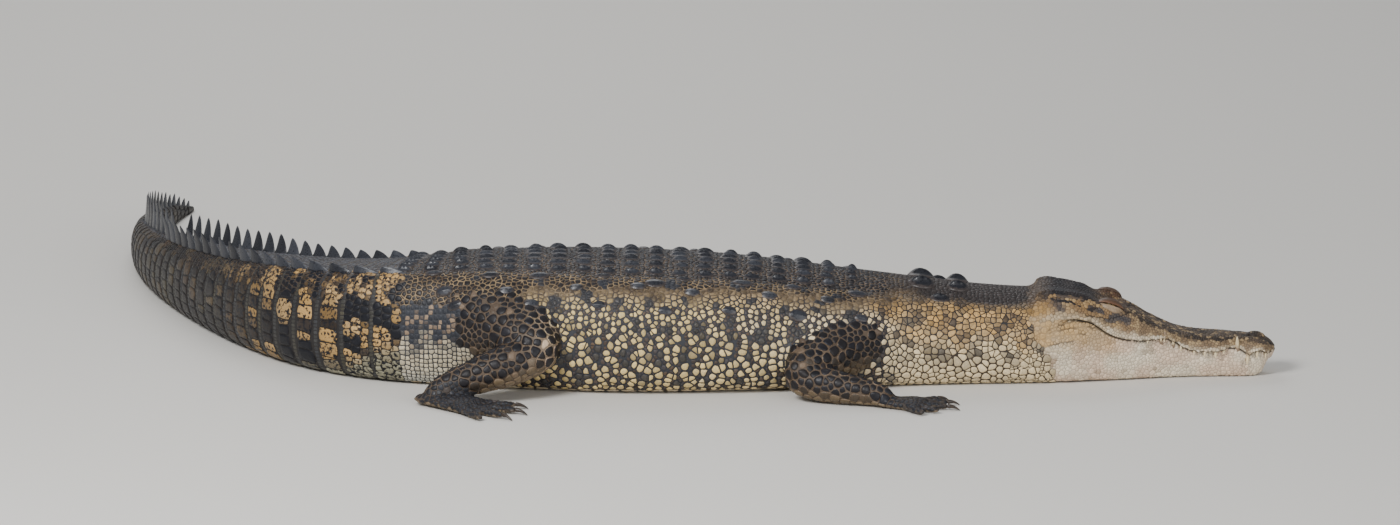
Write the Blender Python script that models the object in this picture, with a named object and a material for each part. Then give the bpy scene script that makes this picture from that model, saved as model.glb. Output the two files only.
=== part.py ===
"""A saltwater crocodile at rest on its belly, life size, as closed solids.

Metres, +Z up. The snout points along +X and the animal's left is +Y. The origin is on the
floor under the middle of the belly. The tail swings round to the left and lies on the floor.
"""

import math

import bmesh
import bpy
from mathutils import Vector

# Driving sizes. Places along the body are distances back from the snout tip, along the body's axis.
LENGTH = 3.25
HEAD_LENGTH = 0.452
SNOUT_X = 1.162
VENT = 1.60
GAP = 0.0004  # clearance where two solids meet

# The tail's swing: (place, heading in degrees), where 0 runs straight back and 90 straight to the left.
SWING = [(1.54, 0), (1.92, 54), (2.50, 72), (3.25, 112)]
AXIS_STEP = 0.005

# The body behind the head: smooth curves through (place, size).
HALF_WIDTH = [
    (0.45, 0.119), (0.56, 0.125), (0.66, 0.137), (0.76, 0.160), (0.90, 0.190), (1.05, 0.209),
    (1.20, 0.213), (1.35, 0.199), (1.48, 0.170), (1.58, 0.143), (1.70, 0.125), (1.90, 0.105),
    (2.10, 0.087), (2.30, 0.069), (2.50, 0.052), (2.70, 0.038), (2.90, 0.026), (3.10, 0.015),
    (3.25, 0.004),
]
TOP = [
    (0.45, 0.164), (0.56, 0.172), (0.66, 0.184), (0.76, 0.195), (0.90, 0.209), (1.05, 0.222),
    (1.20, 0.228), (1.35, 0.231), (1.48, 0.229), (1.58, 0.221), (1.70, 0.208), (1.90, 0.186),
    (2.10, 0.161), (2.30, 0.138), (2.50, 0.115), (2.70, 0.092), (2.90, 0.068), (3.10, 0.042),
    (3.25, 0.012),
]
SHIELD = [  # half the width of the plated back, out to its edge
    (0.45, 0.070), (0.66, 0.076), (0.90, 0.101), (1.20, 0.118), (1.45, 0.099), (1.60, 0.080),
    (1.80, 0.067), (2.10, 0.048), (2.30, 0.033), (2.45, 0.019), (2.70, 0.010), (3.25, 0.002),
]
SHIELD_DROP = [  # how far that edge lies below the midline
    (0.45, 0.015), (0.66, 0.018), (0.90, 0.014), (1.20, 0.012), (1.50, 0.008), (1.70, 0.004),
    (2.45, 0.002), (3.25, 0.001),
]
WIDEST_AT = [(0.45, 0.52), (0.76, 0.42), (1.20, 0.38), (1.60, 0.42), (2.00, 0.45), (3.25, 0.45)]
BELLY = [  # half the width that lies on the floor
    (0.45, 0.075), (0.76, 0.100), (1.20, 0.150), (1.48, 0.112), (1.60, 0.082), (1.90, 0.056),
    (2.30, 0.034), (2.70, 0.018), (3.05, 0.008), (3.25, 0.002),
]

# The tail's crest: two rows that draw together, then one row to the tip.
CREST_START = 1.62
CREST_MERGE = 2.46
CREST_END = 3.235
WHORL_LENGTH = [(1.62, 0.047), (2.46, 0.041), (3.25, 0.026)]
CREST_HEIGHT = [
    (1.62, 0.006), (1.85, 0.016), (2.10, 0.032), (2.40, 0.044), (2.60, 0.050), (2.90, 0.043),
    (3.10, 0.028), (3.24, 0.008),
]
CREST_PEAK = 0.72  # where a crest scale is tallest, as a share of its whorl
CREST_HALF_FOOT = 0.009
CREST_HALF_EDGE = 0.0016
CREST_LEAN = 0.22  # outward lean of the two rows, as a share of their height

# The head: stations are (percent of the head's length back from the snout tip, percent of that length).
HEAD_TOP = [
    (0, 12), (2, 14.5), (6, 16.3), (12, 17), (19, 17.8), (30, 18.2), (37, 19), (43, 20.2), (47, 21.8),
    (55, 25.5), (62, 28.6), (68, 29.8), (74, 32), (80, 35), (88, 36.8), (96, 37.6), (99, 37.4), (101, 36.4),
    (104, 36),
]
RIM_WIDTH = [  # canthus of the snout, rim of the eye socket, then edge of the skull table
    (0, 0.3), (2, 4), (6, 6), (12, 5.5), (25, 7), (37, 7), (47, 8), (58, 9.5), (64, 10.5), (70, 11.5),
    (76, 11.6), (80, 11.8), (90, 13.2), (98, 14.5), (104, 15),
]
RIM_HEIGHT = [
    (0, 12), (2, 14), (6, 15.5), (12, 16.6), (25, 17.4), (37, 18.6), (47, 21.5), (55, 25.6), (62, 29.6),
    (67, 31.4), (71, 33), (75, 34), (82, 36.6), (90, 38), (96, 38.8), (99, 38.4), (101, 36.6), (104, 35.4),
]
CHEEK_WIDTH = [
    (0, 0.5), (2, 6.5), (6, 9.5), (12, 8), (16, 7.8), (25, 11.2), (37, 11.2), (47, 13), (58, 15.8),
    (66, 17.3), (74, 18.5), (82, 21), (92, 24.5), (100, 26), (104, 26.3),
]
CHEEK_HEIGHT = [
    (0, 11), (6, 13.9), (25, 15.2), (37, 16), (47, 19.6), (58, 22), (66, 24.2), (74, 27.8),
    (82, 30.6), (92, 31), (104, 28.5),
]
LIP_WIDTH = [
    (0, 0.8), (1, 4.5), (3, 7.5), (6, 9.7), (9, 10.2), (13, 8.9), (16, 8.3), (19, 10), (24, 12.4),
    (30, 12.3), (37, 12), (44, 13.2), (50, 15), (58, 17.3), (66, 19), (74, 20.7), (82, 22.5),
    (92, 25), (104, 26.3),
]
LIP_HEIGHT = [  # the wavy line where the jaws meet
    (0, 10.6), (3, 10), (7, 11.5), (11.5, 9.8), (15, 12), (19, 12.8), (25, 11.5), (32, 11.5), (38, 13),
    (42, 15.6), (47, 17.6), (55, 17.2), (62, 18), (67, 19.4), (71.5, 21.7), (75, 24.4), (79, 26.6),
    (86, 28), (104, 27),
]
JAW_WIDTH = [
    (1, 0.5), (3, 5.5), (6, 7.4), (10, 7.7), (12.5, 8.2), (15, 9.6), (17, 9.5), (22, 9.3), (30, 9.8),
    (37, 10.2), (47, 12.4), (58, 15.5), (66, 17.6), (74, 19.6), (82, 21.9), (92, 24.8), (104, 26.3),
]
JAW_BASE_WIDTH = [
    (1, 0.3), (3, 3), (6, 4.6), (12, 6.2), (20, 6.8), (30, 7.2), (45, 9.5), (60, 12.8), (75, 16.3),
    (90, 19.5), (104, 20.5),
]
JAW_BASE = [(1, 6.5), (3, 3.5), (6, 1.2), (10, 0), (104, 0)]
HEAD_STATIONS = [
    0.3, 1.5, 3, 6, 9, 12, 14, 16, 18, 21, 25, 31, 37, 42, 47, 52, 57, 62, 66, 70, 74, 78, 82, 88, 94,
    99, 101, 103.6,
]
HEAD_END = 1.04  # where the neck takes over, as a share of the head's length
LIP_ROLL = 1.6  # percent: how far the upper lip hangs over the lower jaw

EYE_PLACE = (0.695, 0.0475, 0.1375)  # share of the head's length, then metres out and up
EYE_RADIUS = 0.0150
EAR_START, EAR_END = 0.80, 0.93  # the flap's ends, as shares of the head's length
EAR_RADIUS = 0.0042
NOSTRIL_BOSS = (0.085, 0.0, 0.0690, 0.021)  # share of the head's length, metres out and up, radius

# Teeth that show with the jaws shut: (percent of the head's length, length, radius at the gum).
UPPER_TEETH = [
    (4.0, 0.012, 0.0026), (7.6, 0.016, 0.0032), (11.6, 0.024, 0.0042), (21.5, 0.010, 0.0030),
    (25.0, 0.013, 0.0036), (29.5, 0.011, 0.0032), (34.0, 0.009, 0.0030), (39.5, 0.009, 0.0030),
]
LOWER_TOOTH = (15.9, 0.024, 0.0045)
TOOTH_ROOT, TOOTH_INSET = 0.011, 0.003  # how deep and how far in from the lip's edge a tooth is set

# The nape's plates: (place, metres out, half length, half width, height above the skin).
NAPE_PLATES = [
    (0.600, 0.027, 0.023, 0.017, 0.013), (0.668, 0.030, 0.028, 0.020, 0.015),
    (0.634, 0.078, 0.021, 0.014, 0.010),
]

# Where the body is parted, and how finely it is drawn.
NECK_END = 0.775
TAIL_PARTS = [("tail_base", 1.60, 2.03), ("tail_middle", 2.03, CREST_MERGE),
              ("tail_rear", CREST_MERGE, 2.86), ("tail_tip", 2.86, LENGTH)]
NECK_RINGS, TRUNK_RINGS = 7, 17
LIMB_SIDES, DIGIT_SIDES = 10, 6

# The legs of the right side; those of the left mirror them, moved by LEFT_SHIFT.
LEFT_SHIFT = {"front": 0.035, "hind": -0.03}
LEGS = {
    "front": {
        "names": ("upper_arm", "forearm", "hand"),
        "root": (0.395, -0.105, 0.098), "bend": (0.262, -0.232, 0.058), "heel": (0.425, -0.285, 0.022),
        "upper": [(-0.20, 0.020), (0.00, 0.050), (0.35, 0.050), (0.75, 0.043), (1.05, 0.036), (1.22, 0.012)],
        "lower": [(-0.20, 0.012), (-0.06, 0.031), (0.25, 0.035), (0.65, 0.029), (0.95, 0.023), (1.06, 0.010)],
        "bend_drop": 0.022, "toe_heading": 15, "palm": (0.062, 0.024, 0.036, 0.013),
        "toes": [(-46, 0.040), (-23, 0.052), (-2, 0.056), (19, 0.050), (42, 0.038)],
        "toe_radius": 0.0088, "web": 0.30,
    },
    "hind": {
        "names": ("thigh", "shank", "foot"),
        "root": (-0.345, -0.085, 0.128), "bend": (-0.222, -0.222, 0.103), "heel": (-0.425, -0.272, 0.026),
        "upper": [(-0.25, 0.030), (0.00, 0.072), (0.40, 0.070), (0.80, 0.054), (1.06, 0.042), (1.24, 0.014)],
        "lower": [(-0.17, 0.014), (-0.05, 0.038), (0.28, 0.044), (0.65, 0.034), (0.95, 0.026), (1.06, 0.010)],
        "bend_drop": 0.018, "toe_heading": 33, "palm": (0.088, 0.027, 0.042, 0.015),
        "toes": [(-27, 0.072), (-9, 0.088), (9, 0.090), (27, 0.076)],
        "toe_radius": 0.0100, "web": 0.62,
    },
}
CLAWED_TOES = 3  # the inner three of each foot
CLAW_LENGTH = 0.021
CLAW_RADIUS = 0.0044
CLAW_BOW = 0.0021
TOE_TIP_SHARE = 0.72  # a toe's tip against its root
WEB_LOW, WEB_THICK, WEB_SAG, WEB_ROOT = 0.0016, 0.0034, 0.007, 0.012
TOE_LIFT = 0.0006  # the palm carries the foot, the toes lie just clear of the floor


def along(stations, place):
    """The value at place of a smooth curve through the stations that never overshoots them."""
    if place <= stations[0][0]:
        return stations[0][1]
    if place >= stations[-1][0]:
        return stations[-1][1]
    last = len(stations) - 1
    i = max(k for k in range(last) if stations[k][0] <= place)

    def rise(k):
        return (stations[k + 1][1] - stations[k][1]) / (stations[k + 1][0] - stations[k][0])

    def slope(k):
        if k in (0, last):
            return rise(min(k, last - 1))
        before, after = rise(k - 1), rise(k)
        return 0.0 if before * after <= 0 else 2 * before * after / (before + after)

    width = stations[i + 1][0] - stations[i][0]
    t = (place - stations[i][0]) / width
    start, end = stations[i][1], stations[i + 1][1]
    return (
        start * (1 + 2 * t) * (1 - t) ** 2
        + end * t * t * (3 - 2 * t)
        + width * slope(i) * t * (1 - t) ** 2
        - width * slope(i + 1) * t * t * (1 - t)
    )


def axis_points():
    """The body's axis on the floor, one point for each AXIS_STEP back from the snout tip."""
    points = [Vector((SNOUT_X, 0.0))]
    for i in range(round(LENGTH / AXIS_STEP)):
        heading = math.radians(along(SWING, (i + 0.5) * AXIS_STEP))
        points.append(points[-1] + AXIS_STEP * Vector((-math.cos(heading), math.sin(heading))))
    return points


AXIS = axis_points()


def on_body(place, out, up):
    """The point at this place along the body, out to its left by out and up from the floor."""
    at = min(max(place / AXIS_STEP, 0), len(AXIS) - 1.001)
    i = int(at)
    centre = AXIS[i].lerp(AXIS[i + 1], at - i)
    heading = math.radians(along(SWING, place))
    x = centre.x + out * math.sin(heading)
    y = centre.y + out * math.cos(heading)
    return Vector((x, y, max(up, 0.0)))


def quarter(steps, bulge=1.0):
    """Points of a quarter oval from (1, 0) to (0, 1), both ends left out."""
    for k in range(1, steps):
        turn = math.pi / 2 * k / steps
        yield math.cos(turn) ** bulge, math.sin(turn) ** bulge


def body_half(place, flank_steps=4, belly_steps=3):
    """Half a cross-section behind the head, as (out, up) from the shield's edge down to the belly's edge."""
    half, top = along(HALF_WIDTH, place), along(TOP, place)
    edge, belly = along(SHIELD, place), along(BELLY, place)
    rim = top - along(SHIELD_DROP, place)
    widest = top * along(WIDEST_AT, place)
    points = [(edge, rim)]
    flank = [(edge + (half - edge) * c, widest + (rim - widest) * s) for c, s in quarter(flank_steps)]
    points += reversed(flank)
    points.append((half, widest))
    points += [(belly + (half - belly) * c, widest * (1 - s)) for c, s in quarter(belly_steps, 0.85)]
    points.append((belly, 0.0))
    return points


def mirrored(half, place, top=(), bottom=()):
    """A whole ring of points from half a section, with points on the midline at its top and bottom."""
    left = [on_body(place, out, up) for out, up in half]
    right = [on_body(place, -out, up) for out, up in reversed(half)]
    over = [on_body(place, out, up) for out, up in top]
    under = [on_body(place, out, up) for out, up in bottom]
    return over + left + under + right


def body_ring(place):
    """A ring of the neck or the trunk."""
    return mirrored(body_half(place), place, top=[(0.0, along(TOP, place))], bottom=[(0.0, 0.0)])


def double_crest_ring(place, height):
    """A ring of the tail where the crest has two rows, each as tall as height here."""
    half = body_half(place, flank_steps=2, belly_steps=2)
    edge, rim = half[0]
    foot = min(CREST_HALF_FOOT, edge * 0.45)
    lean = height * CREST_LEAN
    crest = [
        (edge - foot, rim),
        (edge + lean - CREST_HALF_EDGE, rim + height),
        (edge + lean + CREST_HALF_EDGE, rim + height),
        (edge + foot * 0.4, rim - foot * 0.4),
    ]
    return mirrored(crest + half[1:], place, top=[(0.0, along(TOP, place))], bottom=[(0.0, 0.0)])


def single_crest_ring(place, height):
    """A ring of the tail where the crest has one row."""
    half = body_half(place, flank_steps=2, belly_steps=2)
    edge, rim = half[0]
    blade = min(CREST_HALF_EDGE, edge * 0.4)
    return mirrored([(blade, rim + height)] + half, place)


def percent(stations, share):
    """A head size in metres, at a share of the head's length."""
    return along(stations, 100 * share) * HEAD_LENGTH / 100


def head_ring(share):
    """A ring of the head above the mouth."""
    top, lip = percent(HEAD_TOP, share), percent(LIP_HEIGHT, share) + GAP / 2
    rim, rim_up = percent(RIM_WIDTH, share), percent(RIM_HEIGHT, share)
    cheek, cheek_up = percent(CHEEK_WIDTH, share), percent(CHEEK_HEIGHT, share)
    lip_out = percent(LIP_WIDTH, share)
    roll = min(percent([(0, LIP_ROLL)], share), 0.4 * lip_out)
    half = [
        (rim * 0.55, top * 0.4 + rim_up * 0.6),
        (rim, rim_up),
        (rim + 0.45 * (cheek - rim), cheek_up + 0.62 * (rim_up - cheek_up)),
        (cheek, cheek_up),
        (lip_out, lip + 0.35 * (cheek_up - lip)),
        (lip_out - 0.25 * roll, lip),
        (lip_out - 1.4 * roll, lip),
    ]
    return mirrored(half, share * HEAD_LENGTH, top=[(0.0, top)])


def jaw_ring(share):
    """A ring of the lower jaw."""
    lip, base = percent(LIP_HEIGHT, share) - GAP / 2, percent(JAW_BASE, share)
    jaw, floor = percent(JAW_WIDTH, share), percent(JAW_BASE_WIDTH, share)
    roll = min(percent([(0, LIP_ROLL)], share), 0.4 * jaw)
    inner = min(jaw, percent(LIP_WIDTH, share)) - roll
    half = [
        (inner, lip),
        (0.5 * inner + 0.5 * jaw, base + 0.78 * (lip - base)),
        (jaw, base + 0.5 * (lip - base)),
        (0.35 * jaw + 0.65 * floor, base + 0.14 * (lip - base)),
        (floor, base),
    ]
    return mirrored(half, share * HEAD_LENGTH)


def material(name, colour, roughness):
    """A plain finish of one colour."""
    made = bpy.data.materials.get(name) or bpy.data.materials.new(name)
    made.use_nodes = True
    shader = made.node_tree.nodes["Principled BSDF"]
    shader.inputs["Base Color"].default_value = (*colour, 1.0)
    shader.inputs["Roughness"].default_value = roughness
    shader.inputs["Metallic"].default_value = 0.0
    return made


def hide(scaly):
    return material("scaly_hide" if scaly else "pale_hide", (0.20, 0.15, 0.09) if scaly else (0.55, 0.45, 0.30), 0.55)


def horn():
    return material("claw_horn", (0.05, 0.04, 0.035), 0.35)


def enamel():
    return material("eye", (0.16, 0.13, 0.05), 0.08)


def add(name, mesh, finish, helper=False):
    """Puts a mesh in the scene under its node's name. A helper only cuts or joins other pieces."""
    mesh.materials.append(finish)
    made = bpy.data.objects.new(name, mesh)
    bpy.context.scene.collection.objects.link(made)
    if helper:
        made.hide_render = True
        made.display_type = "WIRE"
    return made


def loft_mesh(name, rings):
    """A closed skin over rings that have the same number of points, with a flat cap at each end."""
    sides = len(rings[0])
    points = [point for ring in rings for point in ring]
    faces = []
    for r in range(len(rings) - 1):
        for k in range(sides):
            a, b = r * sides + k, r * sides + (k + 1) % sides
            faces.append((a, b, b + sides, a + sides))
    faces.append(tuple(reversed(range(sides))))
    faces.append(tuple(range((len(rings) - 1) * sides, len(rings) * sides)))
    mesh = bpy.data.meshes.new(name)
    mesh.from_pydata(points, [], faces)
    facing_out(mesh)
    mesh.shade_smooth()
    mesh.set_sharp_from_angle(angle=math.radians(50))
    return mesh


def facing_out(mesh):
    """Turns every face to point outwards."""
    work = bmesh.new()
    work.from_mesh(mesh)
    bmesh.ops.recalc_face_normals(work, faces=work.faces)
    if work.calc_volume(signed=True) < 0:
        bmesh.ops.reverse_faces(work, faces=work.faces)
    work.to_mesh(mesh)
    work.free()


def join(target, piece, operation="UNION"):
    """Adds a Boolean of piece to target."""
    cut = target.modifiers.new(f"{operation.lower()} {piece.name}", "BOOLEAN")
    cut.operation = operation
    cut.object = piece


def spread(start, end, count):
    """count places from start to end, both included."""
    return [start + (end - start) * k / (count - 1) for k in range(count)]


def tube(name, path, radii, finish, sides=LIMB_SIDES, flatten=1.0, helper=False, grow=0.0, floor=0.0):
    """A round limb along path, with a radius at each point, pressed flat where it would pass below floor."""
    rings = []
    for i, (centre, radius) in enumerate(zip(path, radii)):
        ahead = (path[min(i + 1, len(path) - 1)] - path[max(i - 1, 0)]).normalized()
        aside = ahead.cross(Vector((0, 0, 1))).normalized()
        upward = aside.cross(ahead)
        ring = []
        for k in range(sides):
            turn = 2 * math.pi * (k + 0.5) / sides
            out = (radius + grow) * math.cos(turn)
            up = (radius * flatten + grow) * math.sin(turn)
            point = centre + aside * out + upward * up
            point.z = max(point.z, floor - grow)
            ring.append(point)
        rings.append(ring)
    return add(name, loft_mesh(name, rings), finish, helper)


def straight(start, end, stations):
    """Points and radii of a straight limb, from (share of the way, radius) stations."""
    path = [start.lerp(end, share) for share, _ in stations]
    return path, [radius for _, radius in stations]


def ball(name, centre, radius, finish, stretch=(1, 1, 1), rings=6, sides=9, helper=False):
    """A closed ball, or an oval one."""
    work = bmesh.new()
    bmesh.ops.create_uvsphere(work, u_segments=sides, v_segments=rings, radius=radius)
    for vert in work.verts:
        vert.co = centre + Vector(c * s for c, s in zip(vert.co, stretch))
    mesh = bpy.data.meshes.new(name)
    work.to_mesh(mesh)
    work.free()
    mesh.shade_smooth()
    return add(name, mesh, finish, helper)


def cone(name, foot, tip, radius, finish, sides=5, bow=0.0, helper=False, grow=0.0):
    """A pointed tooth or claw from foot to tip. A claw bows upwards by bow halfway along."""
    path, radii = [foot, tip], [radius, radius * 0.16]
    if bow:
        path.insert(1, foot.lerp(tip, 0.55) + Vector((0, 0, bow)))
        radii.insert(1, radius * 0.75)
    return tube(name, path, radii, finish, sides, helper=helper, grow=grow)


def make_head():
    """The upper head with its sockets, nostril boss and upper teeth, and the lower jaw with its big tooth."""
    shares = [station / 100 for station in HEAD_STATIONS]
    head = add("head", loft_mesh("head", [head_ring(share) for share in shares]), hide(True))
    jaw = add("lower_jaw", loft_mesh("lower_jaw", [jaw_ring(share) for share in shares[1:]]), hide(False))
    boss_share, boss_out, boss_up, boss_radius = NOSTRIL_BOSS
    boss = ball("nostril_boss", on_body(boss_share * HEAD_LENGTH, boss_out, boss_up), boss_radius,
                hide(True), stretch=(0.95, 0.85, 0.62), rings=5, sides=9, helper=True)
    join(head, boss)
    for side, sign in (("left", 1), ("right", -1)):
        eye_share, eye_out, eye_up = EYE_PLACE
        centre = on_body(eye_share * HEAD_LENGTH, sign * eye_out, eye_up)
        lids = ball(f"lids_{side}", centre + Vector((0, -sign * 0.003, 0.0)), EYE_RADIUS + 0.0035, hide(True),
                    stretch=(1.35, 0.95, 0.97), helper=True)
        join(head, lids)
        socket = ball(f"socket_{side}", centre, EYE_RADIUS + 2 * GAP, hide(True), helper=True)
        join(head, socket, "DIFFERENCE")
        make_ear(head, side, sign)
        for i, (at, length, radius) in enumerate(UPPER_TEETH):
            tooth = make_tooth(f"upper_tooth_{side}_{i}", sign, at, length, radius, LIP_WIDTH, -1)
            join(head, tooth)
        join(jaw, make_tooth(f"lower_tooth_{side}", sign, *LOWER_TOOTH, JAW_WIDTH, 1))
        notch = make_tooth(f"lower_tooth_notch_{side}", sign, *LOWER_TOOTH, JAW_WIDTH, 1, grow=3 * GAP)
        join(head, notch, "DIFFERENCE")
    for side, sign in (("left", 1), ("right", -1)):
        eye_share, eye_out, eye_up = EYE_PLACE
        centre = on_body(eye_share * HEAD_LENGTH, sign * eye_out, eye_up)
        ball(f"eye_{side}", centre, EYE_RADIUS, enamel())


def make_ear(head, side, sign):
    """The ear flap: a slim roll of skin let in under the edge of the skull table."""
    ends = []
    for share in (EAR_START, EAR_END):
        out, up = percent(RIM_WIDTH, share) + 0.006, percent(RIM_HEIGHT, share) - 0.0085
        ends.append(on_body(share * HEAD_LENGTH, sign * out, up))
    stations = [(0.0, EAR_RADIUS * 0.4), (0.08, EAR_RADIUS), (0.92, EAR_RADIUS * 1.15), (1.0, EAR_RADIUS * 0.4)]
    path, radii = straight(ends[0], ends[1], stations)
    tube(f"ear_flap_{side}", path, radii, hide(True), sides=8)
    slot = tube(f"ear_slot_{side}", path, radii, hide(True), sides=8, helper=True, grow=GAP)
    join(head, slot, "DIFFERENCE")


def make_tooth(name, sign, at, length, radius, width, way, grow=0.0):
    """A tooth at a percent of the head's length, set in the gum and pointing down or up."""
    share = at / 100
    out = percent(width, share) - TOOTH_INSET
    lip = percent(LIP_HEIGHT, share)
    foot = on_body(share * HEAD_LENGTH, sign * (out - 0.002), lip - way * TOOTH_ROOT)
    tip = on_body((share + 0.004) * HEAD_LENGTH, sign * (out + 0.0035), lip + way * length)
    return cone(name, foot, tip, radius, enamel(), helper=True, grow=grow)


def neck_places():
    return spread(HEAD_END * HEAD_LENGTH, NECK_END - GAP, NECK_RINGS)


def trunk_places():
    return spread(NECK_END, VENT - GAP, TRUNK_RINGS)


def make_neck():
    """The neck with the plates of the nape."""
    neck = add("neck", loft_mesh("neck", [body_ring(place) for place in neck_places()]), hide(True))
    for i, (place, out, half_length, half_width, height) in enumerate(NAPE_PLATES):
        edge = along(SHIELD, place)
        skin = along(TOP, place) - along(SHIELD_DROP, place) * min(out / edge, 1.0) ** 2
        for sign in (-1, 1):
            plate = ball(f"nape_plate_{i}_{sign}", on_body(place, sign * out, skin - 0.004), half_length,
                         hide(True), stretch=(1, half_width / half_length, (height + 0.004) / half_length),
                         rings=6, sides=8, helper=True)
            join(neck, plate)


def make_trunk():
    return add("trunk", loft_mesh("trunk", [body_ring(place) for place in trunk_places()]), hide(True))


def trunk_clearance():
    """The neck, trunk and tail root a little enlarged, to cut the legs where they meet the body."""
    rings = []
    for place in neck_places() + trunk_places() + [VENT + 0.1]:
        ring = body_ring(place)
        centre = on_body(place, 0.0, along(TOP, place) / 2)
        rings.append([centre + (p - centre) * (1 + 3 * GAP / (p - centre).length) for p in ring])
    return add("trunk_clearance", loft_mesh("trunk_clearance", rings), hide(True), helper=True)


def crest_places(start, end):
    """(place, share of the crest's height) for each ring between start and end: valleys and peaks."""
    found = []
    place = CREST_START
    while place < CREST_END:
        length = min(along(WHORL_LENGTH, place), CREST_END - place)
        found.append((place, 0.0))
        found.append((place + CREST_PEAK * length, 1.0))
        place += length
        if abs(place - CREST_MERGE) < 0.02:
            place = CREST_MERGE
    inside = [(at, share) for at, share in found if start + 0.004 < at < end - 0.004]
    return [(start, 0.0)] + inside + [(end - GAP, 0.0)]


def make_tail():
    """The tail in four lengths, its crest in one piece with it."""
    for name, start, end in TAIL_PARTS:
        ring = double_crest_ring if end <= CREST_MERGE else single_crest_ring
        rings = [ring(place, share * along(CREST_HEIGHT, place)) for place, share in crest_places(start, end)]
        add(name, loft_mesh(name, rings), hide(True))


def headed(degrees, sign):
    """The level direction this far outward from straight ahead, and the one at right angles outward."""
    turn = math.radians(degrees)
    return (Vector((math.cos(turn), -sign * math.sin(turn), 0)),
            Vector((-math.sin(turn), -sign * math.cos(turn), 0)))


def make_foot(name, leg, heel, sign, clear):
    """A palm with its toes, joined by web, and a claw on each of the inner three toes."""
    length, heel_half, toe_half, thick = leg["palm"]
    ahead, outward = headed(leg["toe_heading"], sign)
    start = Vector((heel.x, heel.y, thick * 0.8))
    path = [start + ahead * (share * length) for share in (-0.42, -0.25, 0.1, 0.55, 0.95, 1.1)]
    radii = [heel_half * 0.35, heel_half * 0.9, heel_half, (heel_half + toe_half) / 2, toe_half, toe_half * 0.7]
    foot = tube(name, path, radii, hide(True), flatten=thick * 0.95 / toe_half)
    radius = leg["toe_radius"]
    toes = []
    for i, (fan, toe_length) in enumerate(leg["toes"]):
        along_toe, _ = headed(leg["toe_heading"] + fan, sign)
        base = start + ahead * (length * 0.72) + outward * (math.sin(math.radians(fan)) * toe_half * 0.9)
        base.z = radius * 0.86
        tip = base + along_toe * (toe_length + length * 0.28)
        toe_path = [base.lerp(tip, share) for share in (0, 0.45, 0.92, 1.0)]
        toe_radii = [radius * k for k in (1.0, 0.96, TOE_TIP_SHARE, TOE_TIP_SHARE * 0.45)]
        toe = tube(f"{name}_toe_{i + 1}", toe_path, toe_radii, hide(True), DIGIT_SIDES, flatten=0.95,
                   helper=True, floor=TOE_LIFT)
        join(foot, toe)
        toes.append((base, tip, along_toe))
    join(foot, make_web(f"{name}_web", toes, leg["web"]))
    for cutter in clear:
        join(foot, cutter, "DIFFERENCE")
    for i, (base, tip, along_toe) in enumerate(toes[:CLAWED_TOES]):
        root = tip + along_toe * (GAP * 2) + Vector((0, 0, 0.0005))
        point = root + along_toe * CLAW_LENGTH - Vector((0, 0, root.z - 0.0012))
        cone(f"{name}_claw_{i + 1}", root, point, CLAW_RADIUS, horn(), bow=CLAW_BOW)
    return foot


def make_web(name, toes, reach):
    """The skin between the toes, as one thin plate just off the floor."""
    outline = [(toes[0][0] + toes[-1][0]) / 2 - toes[0][2] * WEB_ROOT]
    for i, (base, tip, _) in enumerate(toes):
        if i:
            before = toes[i - 1][0].lerp(toes[i - 1][1], reach)
            outline.append((before + base.lerp(tip, reach)) / 2 - (tip - base).normalized() * WEB_SAG)
        outline.append(base.lerp(tip, reach))
    rings = [[Vector((p.x, p.y, up)) for p in outline] for up in (WEB_LOW, WEB_LOW + WEB_THICK)]
    return add(name, loft_mesh(name, rings), hide(True), helper=True)


def make_leg(end, side, body):
    """One leg in three lengths, each cut where it meets the one above it."""
    leg = LEGS[end]
    sign = 1 if side == "right" else -1
    shift = 0.0 if side == "right" else LEFT_SHIFT[end]

    def place(point, drop=0.0):
        return Vector((point[0] + shift, point[1] * sign, point[2] - drop))

    root, bend, heel = place(leg["root"]), place(leg["bend"]), place(leg["heel"])
    low_bend = place(leg["bend"], leg["bend_drop"])
    upper_name, lower_name, foot_name = (f"{end}_{side}_{part}" for part in leg["names"])
    upper = straight(root, bend, leg["upper"])
    lower = straight(low_bend, heel, leg["lower"])
    join(tube(upper_name, *upper, hide(True)), body, "DIFFERENCE")
    upper_clear = tube(f"{upper_name}_clearance", *upper, hide(True), helper=True, grow=GAP * 2)
    shin = tube(lower_name, *lower, hide(True))
    join(shin, body, "DIFFERENCE")
    join(shin, upper_clear, "DIFFERENCE")
    lower_clear = tube(f"{lower_name}_clearance", *lower, hide(True), helper=True, grow=GAP * 2)
    make_foot(foot_name, leg, heel, sign, [lower_clear])


def main():
    for old in list(bpy.data.objects):
        bpy.data.objects.remove(old)
    make_head()
    make_neck()
    make_trunk()
    make_tail()
    body = trunk_clearance()
    for end in LEGS:
        for side in ("left", "right"):
            make_leg(end, side, body)


main()
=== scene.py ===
"""A saltwater crocodile lying on its belly: the skin, the coat of scales and the looks over the CAD frame."""
import math

import bmesh
import bpy
import numpy as np
from mathutils import Matrix, Vector
from mathutils.bvhtree import BVHTree
from mathutils.kdtree import KDTree


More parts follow.
